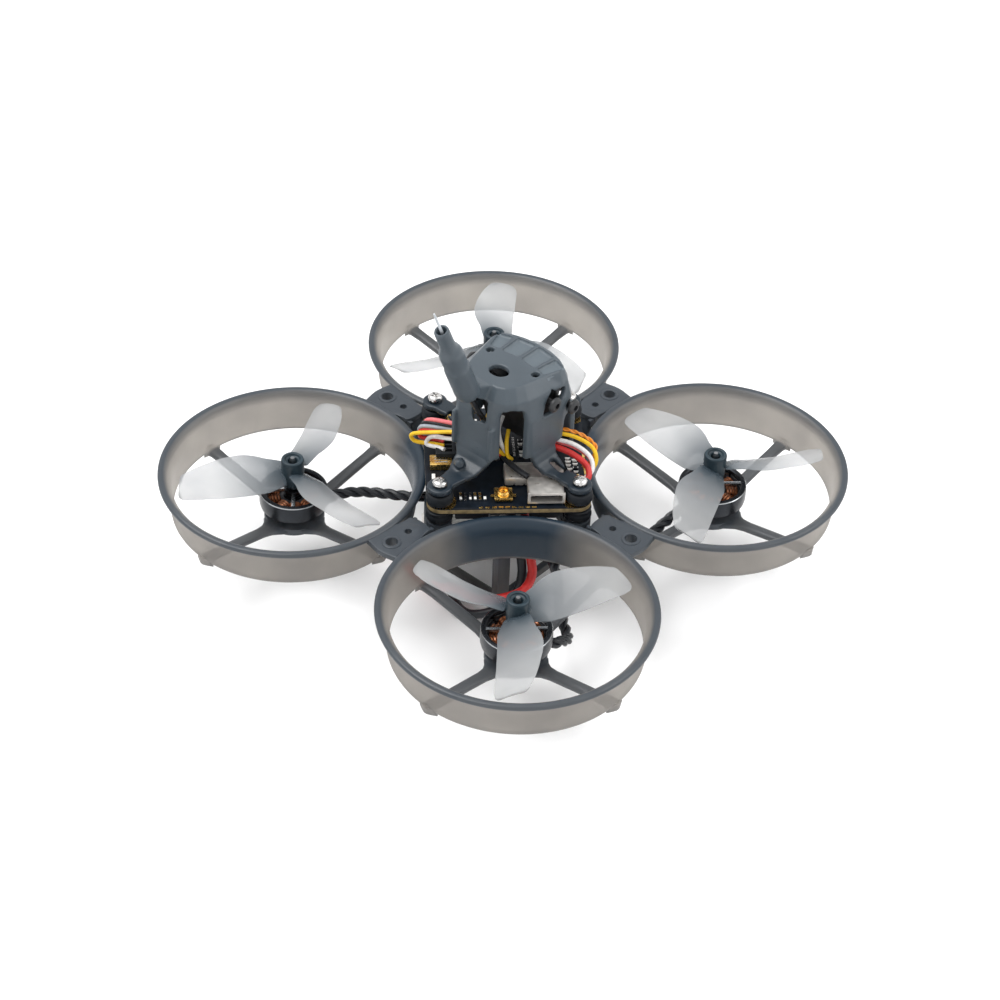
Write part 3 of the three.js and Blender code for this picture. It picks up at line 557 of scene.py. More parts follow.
def battery_lead():
    """Two silicone leads drop from the board beside the bay and lie on the floor up to their connector."""
    low, high = corners_of("battery_connector")
    middle = (low + high) / 2
    width, depth, height = high - low
    shell = block(width, depth - 0.4, height - 0.2, middle.x, middle.y + 0.2, low.z + 0.1, 0.35)
    mouth = block(width - 1.4, 4, height - 1.5, middle.x, high.y - 0.6, low.z + 0.75, 0.1)
    body = boolean(shell, [mouth], "DIFFERENCE")
    ribs = [block(0.5, depth - 2.4, 0.4, middle.x + x, middle.y, high.z - 0.25, 0.1)
            for x in (-2.2, -1.1, 1.1, 2.2)]
    pins = [paint(block(0.6, 3, 0.6, middle.x + x, high.y - 2, middle.z - 0.3, 0.1), 1) for x in (-1.1, 1.1)]
    boots = [moved(paint(block(2.3, 0.8, 2.3, 0, 0, 0, 0.3), 0), middle.x + x, low.y + 0.35, low.z + 1.2)
             for x in (-1.1, 1.1)]
    connector = piece("lead_connector", combine([body, *ribs, *pins, *boots]), [WHITE, GOLD], "frame",
                      ["battery_connector"])
    for name, route, material in (("black", BLACK_LEAD, BLACK_WIRE), ("red", RED_LEAD, RED_WIRE)):
        path = smooth_path(route, 5)
        lead = piece(f"{name}_battery_lead", sweep(path, LEAD_RADIUS, 16), material, "frame",
                     [f"battery_lead_{name}"])


# ---------------------------------------------------------------- frame moulding

def rim_profile():
    return rounded([[WALL_RADIUS - WALL, DUCT_BOTTOM], [WALL_RADIUS - WALL + 0.02, RIM_TOP - 5],
                    [WALL_RADIUS - WALL + 0.2, RIM_TOP - 2.2], [WALL_RADIUS + 0.3, RIM_TOP - 0.6],
                    [LIP_RADIUS - 1.1, RIM_TOP], [LIP_RADIUS - 0.1, RIM_TOP - 0.1],
                    [LIP_RADIUS, RIM_TOP - 0.9], [LIP_RADIUS - 0.5, RIM_TOP - 1.3],
                    [WALL_RADIUS + 0.5, RIM_TOP - 2.0], [WALL_RADIUS, RIM_TOP - 4],
                    [WALL_RADIUS, DUCT_BOTTOM]], 2)


def spoke():
    """One spoke along +X, from the motor mount down under the ring, webbed at both ends."""
    low = DUCT_FOOT
    high = DUCT_BOTTOM - SPOKE_THICK + 0.7
    stations = [(3, 7.4, low), (5.4, 6.6, low), (6.4, 4.6, low), (7.6, 3.2, low + 0.25),
                (9.5, 2.5, low + 0.6), (15, SPOKE_WIDTH, low + 1.6), (21, SPOKE_WIDTH, high - 0.35),
                (23.4, 2.7, high), (24.2, 3.3, high), (24.6, 3.6, high)]
    return beam([(*station, SPOKE_THICK) for station in stations], 2)


def duct_parts(cx, cy):
    parts = [moved(lathe(rim_profile(), 144), cx, cy)]
    parts.append(moved(disc(MOUNT_RADIUS + 0.5, DUCT_FOOT, DUCT_FOOT + MOUNT_THICK, 0.3), cx, cy))
    for k in range(4):
        parts.append(moved(spoke(), cx, cy, 0, 90 * k))
        nub = prism(rounded([[24.0, -2.6], [24.8, -1.3], [25.4, 0], [24.8, 1.3], [24.0, 2.6]], 1),
                    DUCT_BOTTOM - 0.8, DUCT_BOTTOM + 0.8, 0.2)
        parts.append(moved(nub, cx, cy, 0, 90 * k))
    return parts


def centre_parts():
    """Posts, bars, gussets with raised hole rims, their sloping arms, and the battery bay."""
    inner = POST_OFFSET + 3.4
    outline = rounded([[inner + 1.4, -2.8], [26.4, -2.7], [29.2, -3.6], [30.8, -7.8], [34.8, -7.8],
                       [35.6, -3.2], [36.3, 0], [35.6, 3.2], [34.8, 7.8], [30.8, 7.8], [29.2, 3.6],
                       [26.4, 2.7], [inner + 1.4, 2.8]], 2)
    parts = []
    for k in range(4):
        plate = prism(outline, GUSSET_BOTTOM, GUSSET_BOTTOM + 1.3, 0.25)
        large = moved(disc(1.9, GUSSET_BOTTOM - 0.6, GUSSET_BOTTOM + 1.5, 0.25), LARGE_HOLE_REACH)
        small = moved(disc(1.5, GUSSET_BOTTOM - 0.6, GUSSET_BOTTOM + 1.25, 0.2), SMALL_HOLE_REACH)
        arm = beam([(inner - 1.1, 4, BAR_BOTTOM, 2), (inner + 0.1, 4, BAR_BOTTOM + 0.2, 2.2),
                    (inner + 1.2, 4, BAR_BOTTOM + 2.4, 2.2), (inner + 2.2, 4.6, GUSSET_BOTTOM - 1.4, 2),
                    (inner + 4.4, 5.2, GUSSET_BOTTOM - 0.3, 1.2)], 1)
        ribs = [block(6, 0.8, 2, 26.6, y, GUSSET_BOTTOM - 1.2, 0.2) for y in (-2.2, 2.2)]
        post = moved(disc(2.6, BAR_BOTTOM, POST_TOP, 0.3), POST_OFFSET)
        middle = POST_OFFSET / 2
        bar = block(POST_OFFSET * sqrt(2), 2.4, 2, middle, middle, BAR_BOTTOM, 0.3, 135)
        parts += [moved(part, turn=90 * k) for part in (plate, large, small, arm, *ribs, post, bar)]
    for end in (-1, 1):
        y = end * BAY_LEG_Y
        for side in (-1, 1):
            parts.append(block(BAY_WALL, BAY_LEG_DEPTH, BAR_BOTTOM + 1, side * BAY_LEG_X, y, 0, 0.3))
        parts.append(block(2 * BAY_LEG_X + BAY_WALL, 2, BAY_WALL - 0.4, 0, y, 0, 0.3))
    for side in (-1, 1):
        parts.append(block(BAY_WALL, 2 * BAY_LEG_Y, BAY_WALL, side * BAY_LEG_X, 0, 0, 0.3))
    return parts


# How thick, and so how dark, the milky plastic is: 0 for the thinnest wall, 1 for a solid block. Walls near
# the drone's middle are also darkened towards 1 as painted shade, by the last two numbers below.
SPOKE_TONE = 0.7
BAY_TONE = 0.45
CENTRE_TONE = 0.85
LIP_TONE = 0.85
LOWER_EDGE_TONE = 0.35
PAINTED_SHADE_REACH = 27
PAINTED_SHADE_FADE = 6


def frame_moulding():
    centres = [centre_of(f"bell_{name}") for name in MOTORS]
    ducts = [part for c in centres for part in duct_parts(c.x, c.y)]
    middle = centre_parts()
    hollow = [[0, 8], [WALL_RADIUS - 0.4, 8], [WALL_RADIUS - 0.3, RIM_TOP - 2.2],
              [WALL_RADIUS + 0.9, RIM_TOP - 0.7], [LIP_RADIUS - 0.7, RIM_TOP + 1], [0, RIM_TOP + 1]]
    clearings = [moved(lathe(hollow, 144), c.x, c.y) for c in centres]
    middle = boolean(middle[0], middle[1:], "UNION")
    middle = boolean(middle, clearings, "DIFFERENCE")
    whole = boolean(middle, ducts, "UNION")
    holes = []
    for c in centres:
        holes.append(moved(rod(1.4, DUCT_FOOT - 1, DUCT_FOOT + 3), c.x, c.y))
        for angle in MOTOR_SCREW_ANGLES:
            turn = radians(angle)
            holes.append(moved(rod(0.9, DUCT_FOOT - 1, DUCT_FOOT + 3), c.x + MOTOR_SCREW_REACH * cos(turn),
                               c.y + MOTOR_SCREW_REACH * sin(turn)))
    for k in range(4):
        for radius, reach in ((1.25, LARGE_HOLE_REACH), (0.75, SMALL_HOLE_REACH)):
            holes.append(quartered(rod(radius, GUSSET_BOTTOM - 2, RIM_TOP + 2), reach, k))
        holes.append(quartered(rod(1, POST_TOP - 3, POST_TOP + 1), POST_OFFSET, k))
    whole = boolean(whole, holes, "DIFFERENCE")

    def tone(co):
        reach = min(hypot(co.x - c.x, co.y - c.y) for c in centres)
        # Painted shade: the nearer a point is to the drone's middle, the darker it is made, standing in for
        # the shade over the electronics.
        inward = min(max((PAINTED_SHADE_REACH - hypot(co.x, co.y)) / PAINTED_SHADE_FADE, 0), 1)
        if reach < WALL_RADIUS - 1 or reach > LIP_RADIUS + 0.1:
            if co.z < DUCT_BOTTOM + 1 and MOUNT_RADIUS + 2 < reach < WALL_RADIUS:
                return SPOKE_TONE
            return BAY_TONE if co.z < BAY_WALL else CENTRE_TONE
        if co.z < DUCT_BOTTOM + 0.3:
            return LOWER_EDGE_TONE
        lip = min(max((reach - WALL_RADIUS - 0.1) / 0.9, 0), 1) * LIP_TONE
        return max(lip if co.z > RIM_TOP - 2.4 else 0, inward)

    piece("frame_moulding", whole, NYLON, "frame",
          ["centre_frame", *(f"duct_{name}" for name in MOTORS)], 30, tone)


# ---------------------------------------------------------------- propellers and motors

BLADE_ROOT = 1.7
BLADE_HEIGHT = 3.2
BLADE_THICK = 0.7
BLADE_CAMBER = 0.45
ROOT_CHORD = 5.4
CHORD_SWELL = 3.9
TRAIL_LIMIT = 3.9
BLADE_ADVANCE = 40
PITCH_LIMIT = 0.42
DARK_ROOT_LENGTH = 15


def blade(spin):
    """A wide twisted blade along +X: bowed leading edge, straight trailing edge and a slanted tip."""
    lengthwise, across = 36, 12
    rings = []
    for i in range(lengthwise + 1):
        t = i / lengthwise
        swell = CHORD_SWELL * sin(pi * min(t * 1.25, 0.5))
        chord = ROOT_CHORD + swell - 3 * max(t - 0.4, 0) ** 1.5 / 0.465
        trail = min(chord * 0.5, TRAIL_LIMIT - 0.5 * t)
        thick = BLADE_THICK * (1 - 0.45 * t)
        top, bottom = [], []
        for j in range(across + 1):
            s = j / across
            corner = max(abs(s - 0.5) - 0.3, 0) / 0.2
            reach = BLADE_ROOT + (PROP_RADIUS - BLADE_ROOT) * t - (1.5 * s + 0.9 * corner ** 2.5) * t ** 6
            pitch = min(atan2(BLADE_ADVANCE, TAU * reach), PITCH_LIMIT)
            y = trail - chord / 2 + chord * (0.5 - s) * cos(pitch)
            z = (s - 0.5) * chord * sin(pitch) + BLADE_CAMBER * sin(pi * s)
            half = thick * (0.12 + 0.4 * sin(pi * s) ** 0.6)
            for side, rise in ((top, half), (bottom, -half)):
                side.append(Vector((reach, -spin * y, HUB_BOTTOM + BLADE_HEIGHT + z + rise)))
        rings.append(top + bottom[::-1])
    return loft(rings)


def propeller(name, cx, cy):
    rest, spin = MOTORS[name]
    body = f"rotor_{name}"
    blades = [moved(blade(spin), cx, cy, 0, rest + 120 * k) for k in range(3)]
    cutter = moved(rod(HUB_RADIUS - 0.15, HUB_BOTTOM - 2, HUB_TOP + 2, 40), cx, cy)
    whole = boolean(combine(blades), [cutter], "DIFFERENCE")

    def tone(co):
        reach = hypot(co.x - cx, co.y - cy)
        return max(0, 1 - (reach - HUB_RADIUS) / DARK_ROOT_LENGTH) ** 1.2

    piece(f"blades_{name}", whole, PROP, body, (), 40, tone)
    hub = lathe(rounded([[SHAFT_RADIUS + 0.02, HUB_BOTTOM], [HUB_RADIUS - 0.1, HUB_BOTTOM],
                         [HUB_RADIUS, HUB_TOP - 1], [HUB_RADIUS, HUB_TOP], [HUB_RADIUS - 0.7, HUB_TOP],
                         [HUB_RADIUS - 0.8, HUB_TOP - 0.5], [SHAFT_RADIUS + 0.02, HUB_TOP - 0.6]], 2), 40)
    piece(f"hub_{name}", moved(hub, cx, cy), HUB, body, [f"propeller_{name}"])


MAGNET_COUNT = 12
TOOTH_COUNT = 9
BELL_HEIGHT = BELL_TOP - BELL_BOTTOM


def coil(reach, turn):
    """The winding of one tooth: a stack of wire loops round it."""
    loops = []
    for k in range(4):
        away = reach - 1.1 + k * 0.62
        half_wide, half_high = 1.02, (BELL_HEIGHT - 1.7) / 2
        outline = rounded([[-half_wide, -half_high], [half_wide, -half_high], [half_wide, half_high],
                           [-half_wide, half_high]], 2)
        middle = (BELL_BOTTOM + 0.2 + BELL_TOP - 1.5) / 2
        points = [Vector((away, p.x, p.y + middle)) for p in [*outline, outline[0]]]
        loops.append(moved(sweep(points, 0.3, 6), turn=turn))
    return combine(loops)


def bell(name, cx, cy):
    """The cup with four arms over its cut-out top; its chamfer and the arms' faces are bare metal."""
    r = BELL_RADIUS
    cup = lathe(rounded([[r - 0.75, BELL_BOTTOM], [r, BELL_BOTTOM], [r, BELL_TOP - 0.3], [r - 0.25, BELL_TOP],
                         [r - 1.15, BELL_TOP], [r - 1.2, BELL_TOP - 0.7], [r - 0.75, BELL_TOP - 0.8]], 1), 96)
    hub = disc(1.9, BELL_TOP - 0.8, BELL_TOP + 0.2, 0.15)
    arms = []
    for k in range(4):
        reach = r - 1
        arms.append(moved(block(reach, 0.75, 0.75, reach / 2, 0, BELL_TOP - 0.78, 0.12), turn=45 + 90 * k))
    bore = rod(SHAFT_RADIUS + 0.02, BELL_TOP - 3, BELL_TOP + 3)
    cap = boolean(boolean(cup, [hub, *arms], "UNION"), [bore], "DIFFERENCE")
    for face in cap.faces:
        slope = face.normal.z
        reach = hypot(*face.calc_center_median().xy)
        on_chamfer = 0.3 < slope < 0.95 and reach > r - 0.8
        on_arm = slope > -0.5 and 2 < reach < r - 1.2 and face.calc_center_median().z > BELL_TOP - 0.75
        face.material_index = 1 if on_chamfer or on_arm else 0
    piece(f"motor_bell_{name}", moved(cap, cx, cy), [ANODISED, MACHINED], f"rotor_{name}",
          [f"bell_{name}"])


def magnets(name, cx, cy):
    ring = []
    for k in range(MAGNET_COUNT):
        magnet = block(0.45, 2.6, BELL_HEIGHT - 1.6, BELL_RADIUS - 1.02, 0, BELL_BOTTOM + 0.35, 0.08)
        ring.append(moved(magnet, turn=360 / MAGNET_COUNT * k + 15))
    piece(f"magnets_{name}", moved(combine(ring), cx, cy), MAGNET, f"rotor_{name}")


def motor_shaft(name, cx, cy):
    low = corners_of(f"shaft_{name}")[0].z
    profile = [[0, low], [SHAFT_RADIUS, low], [SHAFT_RADIUS, SHAFT_TOP], [0, SHAFT_TOP]]
    shaft = lathe(rounded(profile, 2, False), 24)
    piece(f"motor_shaft_{name}", moved(shaft, cx, cy), SPINDLE, f"rotor_{name}", [f"shaft_{name}"])


def motor_foot(name, cx, cy):
    """The foot with its bearing sleeve, and three lugs with the screws that hold it to the mount."""
    low = corners_of(f"motor_base_{name}")[0].z
    bearing, sleeve_top = SHAFT_RADIUS + 0.3, BELL_TOP - 1.4
    profile = [[bearing, low], [4.6, low], [4.6, low + 0.9], [3, low + 1.3], [2.2, low + 1.5],
               [2.2, sleeve_top], [bearing, sleeve_top]]
    foot = lathe(rounded(profile, 1), 48)
    lugs = []
    for angle in MOTOR_SCREW_ANGLES:
        lug = disc(1.35, low, low + 0.9, 0.2)
        screw = paint(disc(0.95, low - MOUNT_THICK - 0.75, low - MOUNT_THICK - 0.3, 0.15, 20), 1)
        lugs += [moved(moved(part, MOTOR_SCREW_REACH), turn=angle) for part in (lug, screw)]
    piece(f"motor_foot_{name}", moved(combine([foot, *lugs]), cx, cy), [ANODISED, STEEL], "frame",
          [f"motor_base_{name}"])


def stator(name, cx, cy):
    """Iron teeth that end in wide shoes, each with its winding."""
    teeth = [disc(2.9, BELL_BOTTOM + 0.5, BELL_TOP - 1.8, 0.1)]
    windings = []
    for k in range(TOOTH_COUNT):
        turn = 360 / TOOTH_COUNT * k
        stem = block(2.2, 1.3, BELL_HEIGHT - 2.5, 4.2, 0, BELL_BOTTOM + 0.6, 0.1)
        shoe = block(0.5, 3.4, BELL_HEIGHT - 2.2, 5.35, 0, BELL_BOTTOM + 0.45, 0.12)
        teeth += [moved(part, turn=turn) for part in (stem, shoe)]
        windings.append(coil(4.2, turn))
    piece(f"stator_core_{name}", moved(combine(teeth), cx, cy), CORE, "frame")
    piece(f"windings_{name}", moved(combine(windings), cx, cy), COPPER, "frame",
          [f"stator_{name}"])


add_camera()
battery_lead()
frame_moulding()
for motor_name in MOTORS:
    where = centre_of(f"bell_{motor_name}")
    for build in (bell, magnets, motor_shaft, motor_foot, stator, propeller):
        build(motor_name, where.x, where.y)


# ---------------------------------------------------------------- board

BOARD_TURN = 45
BOARD_CORNER = 3
BOARD_BORE = 1.72
PAD_HEIGHT = 0.05
PAD_EDGE = 0.01
SEAT = BOARD_TOP + 0.02
PLUG_PITCH = 1.25


def on_board(u, v):
    """A point of the board's own square: u to the right along its rear edge, v towards the far edge."""
    return (u - v) * sqrt(0.5), (u + v) * sqrt(0.5)


def board_block(width, depth, height, u, v, z, bevel=0.1, number=0):
    return paint(block(width, depth, height, *on_board(u, v), z, bevel, BOARD_TURN), number)


def board_outline(grow):
    """A square with rounded corners; the posts stand in its corners."""
    inner = BOARD_HALF - BOARD_CORNER
    points = []
    for k in range(4):
        turn = radians(90 * k)
        corner = Vector((cos(turn), sin(turn))) * inner * sqrt(2)
        for step in range(-5, 6):
            angle = turn + radians(9 * step)
            points.append(corner + Vector((cos(angle), sin(angle))) * (BOARD_CORNER + grow))
    return points


def board():
    layers = []
    for number, grow, low, high in ((1, -0.02, 0.1, 1.1), (0, 0, 0, 0.14), (0, 0, 1.06, 1.2)):
        layer = paint(prism(board_outline(grow), BOARD_BOTTOM + low, BOARD_BOTTOM + high, 0.03), number)
        bores = [quartered(rod(BOARD_BORE, BOARD_BOTTOM - 1, BOARD_TOP + 2), POST_OFFSET, k)
                 for k in range(4)]
        layers.append(boolean(layer, bores, "DIFFERENCE"))
    pads = []
    inner, outer, pad_top = 1.75, 3.3, BOARD_TOP + PAD_HEIGHT
    for k in range(4):
        ring = lathe([[inner, BOARD_TOP], [outer, BOARD_TOP], [outer, pad_top], [inner, pad_top]], 40)
        bounds = prism(board_outline(-0.12), BOARD_TOP - 1, BOARD_TOP + 1, 0)
        pads.append(boolean(quartered(ring, POST_OFFSET, k), [bounds], "INTERSECT"))
    edge = BOARD_HALF - 0.5
    for k in range(9):
        pads.append(board_block(0.9, 0.5, PAD_HEIGHT, -5.6 + 1.3 * k, -edge, BOARD_TOP, PAD_EDGE))
        pads.append(board_block(0.5, 1.5, PAD_HEIGHT, edge, -9 + 1.3 * k, BOARD_TOP, PAD_EDGE))
    for pad in pads:
        paint(pad, 2)
    piece("circuit_board", combine([*layers, *pads]), [MASK, LAMINATE, GOLD], "frame",
          ["flight_controller_board"])


def small_parts():
    """Rows of resistors and capacitors, a coil, a wide socket and the parts on the board's underside, which
    are made oversized and dark to paint the shade under the board as well.
    """
    bodies = []
    # Each row's first place, its step from one part to the next, and the number of parts.
    rows = [
        (-9.5, -13.2, 0.95, 0, 6), (-9.5, -12, 0.95, 0, 5), (12.6, -8, 0, 1.2, 4), (13.8, -7.6, 0, 1.2, 6),
        (12.4, -3.2, 0, 1.1, 3), (-9.6, 10, 1.2, 0, 8), (-9, 11.6, 1.2, 0, 7), (4.5, 11, 1.1, 0, 6),
        (3.2, 0.2, 0, 1.2, 5), (-7.2, -3.2, 0, 1.2, 5), (4.6, 8.4, 1.2, 0, 5), (8.6, 2.2, 0, 1.2, 4),
    ]
    for u, v, step_u, step_v, count in rows:
        for k in range(count):
            number = dice.choice((0, 1, 1, 3))
            size = dice.uniform(0.42, 0.55)
            length = size * 1.9
            wide, deep = (size, length) if step_u else (length, size)
            place = (u + step_u * k, v + step_v * k)
            bodies.append(board_block(wide, deep, size * 0.8, *place, SEAT, 0.05, number))
            for end in (-1, 1):
                shift = (0, end * length / 2) if step_u else (end * length / 2, 0)
                cap = (wide * 1.06, 0.16) if step_u else (0.16, deep * 1.06)
                bodies.append(board_block(*cap, size * 0.84, place[0] + shift[0], place[1] + shift[1],
                                          SEAT, 0.03, 2))
    bodies.append(board_block(4.4, 3.2, 1.5, -13.0, -2.4, SEAT, 0.15, 3))
    bodies.append(board_block(0.7, 5.4, 0.6, -14.6, -8.4, SEAT, 0.1, 1))
    for k in range(3):
        bodies.append(board_block(2.6, 0.35, 0.1, -13.0, -3.2 + 0.8 * k, BOARD_TOP + 1.5, 0.02, 2))
    # Painted shade: the underside parts are much larger than real ones, and a wide dark slab fills the
    # middle, to darken the shaded space under the board.
    for turn in range(4):
        for along, length in ((-7.3, 6.6), (0, 7.4), (7.3, 6.6)):
            across = 12.8 if along else 11.6
            u, v = ((along, across), (across, along), (along, -across), (-across, along))[turn]
            size = (length, 4.2) if turn % 2 == 0 else (4.2, length)
            bodies.append(board_block(*size, 2.4, u, v, BOARD_BOTTOM - 2.42, 0.25, 0))
    bodies.append(board_block(13, 15, 1.6, 0, 0, BOARD_BOTTOM - 3.2, 0.3, 0))
    piece("small_parts", combine(bodies), [CHIP, WHITE, STEEL, GOLD], "frame")


def processor():
    low, high = corners_of("processor_chip")
    size, u, v = 7, -2, 3
    leg_reach, leg_low = 3.7, low.z - 0.26
    body = board_block(size, size, high.z - low.z, u, v, low.z, 0.1)
    dot = board_block(0.5, 0.5, 0.03, u - 2.8, v + 2.8, high.z - 0.01, 0.01, 1)
    legs = []
    for k in range(12):
        along = 0.53 * k - 2.9
        for side in (-1, 1):
            legs.append(board_block(0.22, 0.8, 0.2, u + along, v + side * leg_reach, leg_low, 0.04, 2))
            legs.append(board_block(0.8, 0.22, 0.2, u + side * leg_reach, v + along, leg_low, 0.04, 2))
    piece("processor", combine([body, dot, *legs]), [CHIP, WHITE, STEEL], "frame", ["processor_chip"])


def motor_driver():
    low, high = corners_of("motor_driver_chip")
    driver = board_block(6, 6, high.z - low.z, 0, 0, low.z, 0.1)
    pad = board_block(3.4, 3.4, 0.05, 0, 0, low.z - 0.03, 0.01, 1)
    piece("motor_driver", combine([driver, pad]), [CHIP, STEEL], "frame", ["motor_driver_chip"])


def usb_socket():
    """The metal socket with its flared mouth."""
    low, high = corners_of("usb_socket")
    z, height = low.z, high.z - low.z
    u, v, width, depth = 7.2, -12.4, 7.4, 5.6
    shell = board_block(width - 0.3, depth - 0.2, height - 0.2, u, v + 0.1, z + 0.1, 0.55)
    lip = board_block(width, 0.5, height, u, v - depth / 2 + 0.25, z, 0.2)
    mouth = board_block(width - 1.1, depth, height - 1.0, u, v - 0.8, z + 0.5, 0.35)
    notches = [board_block(0.9, 0.25, 1, u + k * 1.7, v + 0.6, high.z - 0.35, 0.05) for k in (-1, 1)]
    hollow = boolean(boolean(shell, [lip], "UNION"), [mouth, *notches], "DIFFERENCE")
    tongue = board_block(width - 3, depth - 1.4, 0.6, u, v + 0.3, z + 1, 0.1, 1)
    contacts = [board_block(0.35, 3, 0.06, u + k * 0.8, v - 0.2, z + 1.58, 0.01, 2)
                for k in (-2, -1, 0, 1, 2)]
    piece("micro_socket", combine([hollow, tongue, *contacts]), [TIN, CHIP, GOLD], "frame",
          ["usb_socket"])


def shield_can():
    low, high = corners_of("shield_can")
    u, v, width, depth = 5.2, -6.9, 11.8, 5.2
    can = board_block(width, depth, high.z - low.z, u, v, low.z, 0.4)
    panel = board_block(width - 1.6, depth - 1.6, 0.3, u, v, high.z - 0.1, 0.14)
    tools = [moved(rod(0.28, low.z + 1, high.z + 1, 12), *on_board(u + x, v + y))
             for x in (-4.6, 4.6) for y in (-1.9, 1.9)]
    slits = [board_block(0.3, 1, 1, u + x, v - depth / 2, low.z - 0.2, 0) for x in (-4, -2, 0, 2, 4)]
    piece("shield_cover", boolean(can, [panel, *tools, *slits], "DIFFERENCE"), TIN, "frame",
          ["shield_can"])


def antenna_socket():
    low, high = corners_of("rf_connector")
    u, v = -1.1, -12.6
    x, y = on_board(u, v)
    base = board_block(3.6, 3.4, 0.8, u, v, low.z, 0.15)
    ring = moved(lathe(rounded([[0.85, low.z + 0.6], [1.2, low.z + 0.6], [1.2, high.z - 0.4],
                                [1.08, high.z - 0.3], [1.2, high.z], [0.85, high.z]], 1), 28), x, y)
    pin = moved(disc(0.22, low.z + 0.5, high.z - 0.2, 0.08, 12), x, y)
    tabs = [board_block(1, 0.7, 0.25, u + side * 2, v, low.z, 0.06) for side in (-1, 1)]
    piece("antenna_socket", combine([base, ring, pin, *tabs]), GOLD, "frame", ["rf_connector"])


def wire_plug():
    low, high = corners_of("wire_plug")
    u, first = -11.8, -0.7
    body = board_block(4.4, 8.4, high.z - low.z, u, 2.4, low.z, 0.25)
    places = [first + PLUG_PITCH * k for k in range(6)]
    slots = [board_block(2.2, 0.8, 1.4, u, v, high.z - 0.9, 0.05) for v in places]
    housing = boolean(body, slots, "DIFFERENCE")
    pins = [board_block(1.8, 0.3, 0.3, u + 0.2, v, high.z - 0.85, 0.05, 1) for v in places]
    piece("harness_plug", combine([housing, *pins]), [CHIP, GOLD], "frame", ["wire_plug"])


def boot_button():
    low, high = corners_of("boot_button")
    u, v = 12.4, 5.6
    cap = board_block(1.6, 1.6, high.z - low.z, u, v, low.z, 0.3)
    piece("boot_key", cap, WHITE, "boot_button", ["boot_button"])
    case = board_block(3, 3, 1.25, u, v, SEAT, 0.15)
    well = board_block(2.1, 2.1, 2, u, v, BOARD_TOP + 0.2, 0)
    piece("button_case", boolean(case, [well], "DIFFERENCE"), STEEL, "frame")


def dampers_and_screws():
    """The rubber damper in each corner of the board and the pan-head screw that holds the canopy to it."""
    low, high = GROMMET_LOW.z, GROMMET_HIGH.z
    r = (GROMMET_HIGH.x - GROMMET_LOW.x) / 2
    groove = r - 1.1
    profile = rounded([[1, low], [r - 0.1, low], [r, low + 1.1], [r - 0.35, BOARD_BOTTOM - 0.9],
                       [r, BOARD_BOTTOM - 0.25], [groove, BOARD_BOTTOM - 0.2], [groove, BOARD_TOP + 0.2],
                       [r, BOARD_TOP + 0.25], [r, high - 0.5], [r - 0.5, high], [1, high]], 2)
    under = SCREW_HIGH.z - 1
    foot = SCREW_LOW.z
    for k, name in enumerate(CORNERS):
        body = moved(moved(lathe(profile, 40), POST_OFFSET), turn=[90, 0, -90, 180][k])
        piece(f"damper_{name}", body, RUBBER, "frame", [f"grommet_{name}"])
        head = lathe([[0, foot], [0.6, foot + 0.2], [0.7, foot + 0.5], [0.7, under], [1.3, under],
                      [1.45, under + 0.1], [1.45, under + 0.4], [1.36, under + 0.62], [1.15, under + 0.82],
                      [0.85, under + 0.95], [0.45, under + 1], [0, under + 1]], 40)
        slots = [block(1.7, 0.34, 0.8, 0, 0, under + 0.52, 0.08, 20 + 90 * s + 17 * k) for s in range(2)]
        cross = boolean(slots[0], slots[1:], "UNION")
        screw = boolean(head, [cross], "DIFFERENCE")
        place = centre_of(f"canopy_screw_{name}")
        piece(f"pan_screw_{name}", moved(screw, place.x, place.y), STEEL, "frame",
              [f"canopy_screw_{name}"])


board()
small_parts()
processor()
motor_driver()
usb_socket()
shield_can()
antenna_socket()
wire_plug()
boot_button()
dampers_and_screws()


# ---------------------------------------------------------------- canopy

SLEEVE_LEAN = 0.4
SLEEVE_FOOT = Vector((0, -11.3, 47.2))
SLEEVE_LINE = Vector((0, -sin(SLEEVE_LEAN), cos(SLEEVE_LEAN)))
PIVOT = centre_of("camera_pivot_screw_left")
FOOT_BOTTOM = GROMMET_HIGH.z + 0.3
FOOT_TOP = FOOT_BOTTOM + 1.2
CANOPY_TOP = 49
CANOPY_WALL = 1.2
TILT_RADIUS = 6.8
LEG_TOP = 34.2
NOSE_LEG_TOP = 31.4
WHIP_RADIUS = 0.32
WHIP_LENGTH = 24.6

# How thick, and so how dark, the canopy is: 0 for the thinnest wall, 1 for a solid block; the lowest part of
# the legs is also darkened as painted shade, standing in for the black dampers seen through the plastic.
POCKET_TONE = 0.15
SLEEVE_TONE = 0.6
SHELL_TONE = 0.62

# Right half of each level of the canopy, from tail to nose.
CANOPY_LEVELS = [
    [33, [[0, -9.8], [5.2, -9.8], [9.8, -4.8], [10, 0], [10, 6], [8, 9.6], [0, 9.9]]],
    [42, [[0, -9.6], [5.7, -9.6], [9.8, -5.2], [10.2, 0], [10.3, 7], [8, 10], [0, 10.2]]],
    [46.5, [[0, -9], [5.6, -9], [8.6, -5.4], [9.5, 0], [10, 6.4], [6.6, 9.2], [0, 10]]],
    [CANOPY_TOP, [[0, -7.2], [4.4, -7.2], [6.4, -4], [7.3, 0.4], [8.9, 6.6], [5, 8.6], [0, 9.2]]],
]


def tilted(bm, origin, line):
    """Turns a body made along Z so that it runs from a point along a direction."""
    turn = Vector((0, 0, 1)).rotation_difference(line).to_matrix().to_4x4()
    bm.transform(Matrix.Translation(origin) @ turn)
    return bm


def level_ring(z, half, inset):
    left = [[-x, y] for x, y in half if x > 0][::-1]
    ring = []
    for x, y in [*half, *left]:
        point = Vector((x, y))
        point *= (point.length - inset) / point.length
        ring.append(point)
    return [Vector((*p, z)) for p in rounded(ring, 1)]


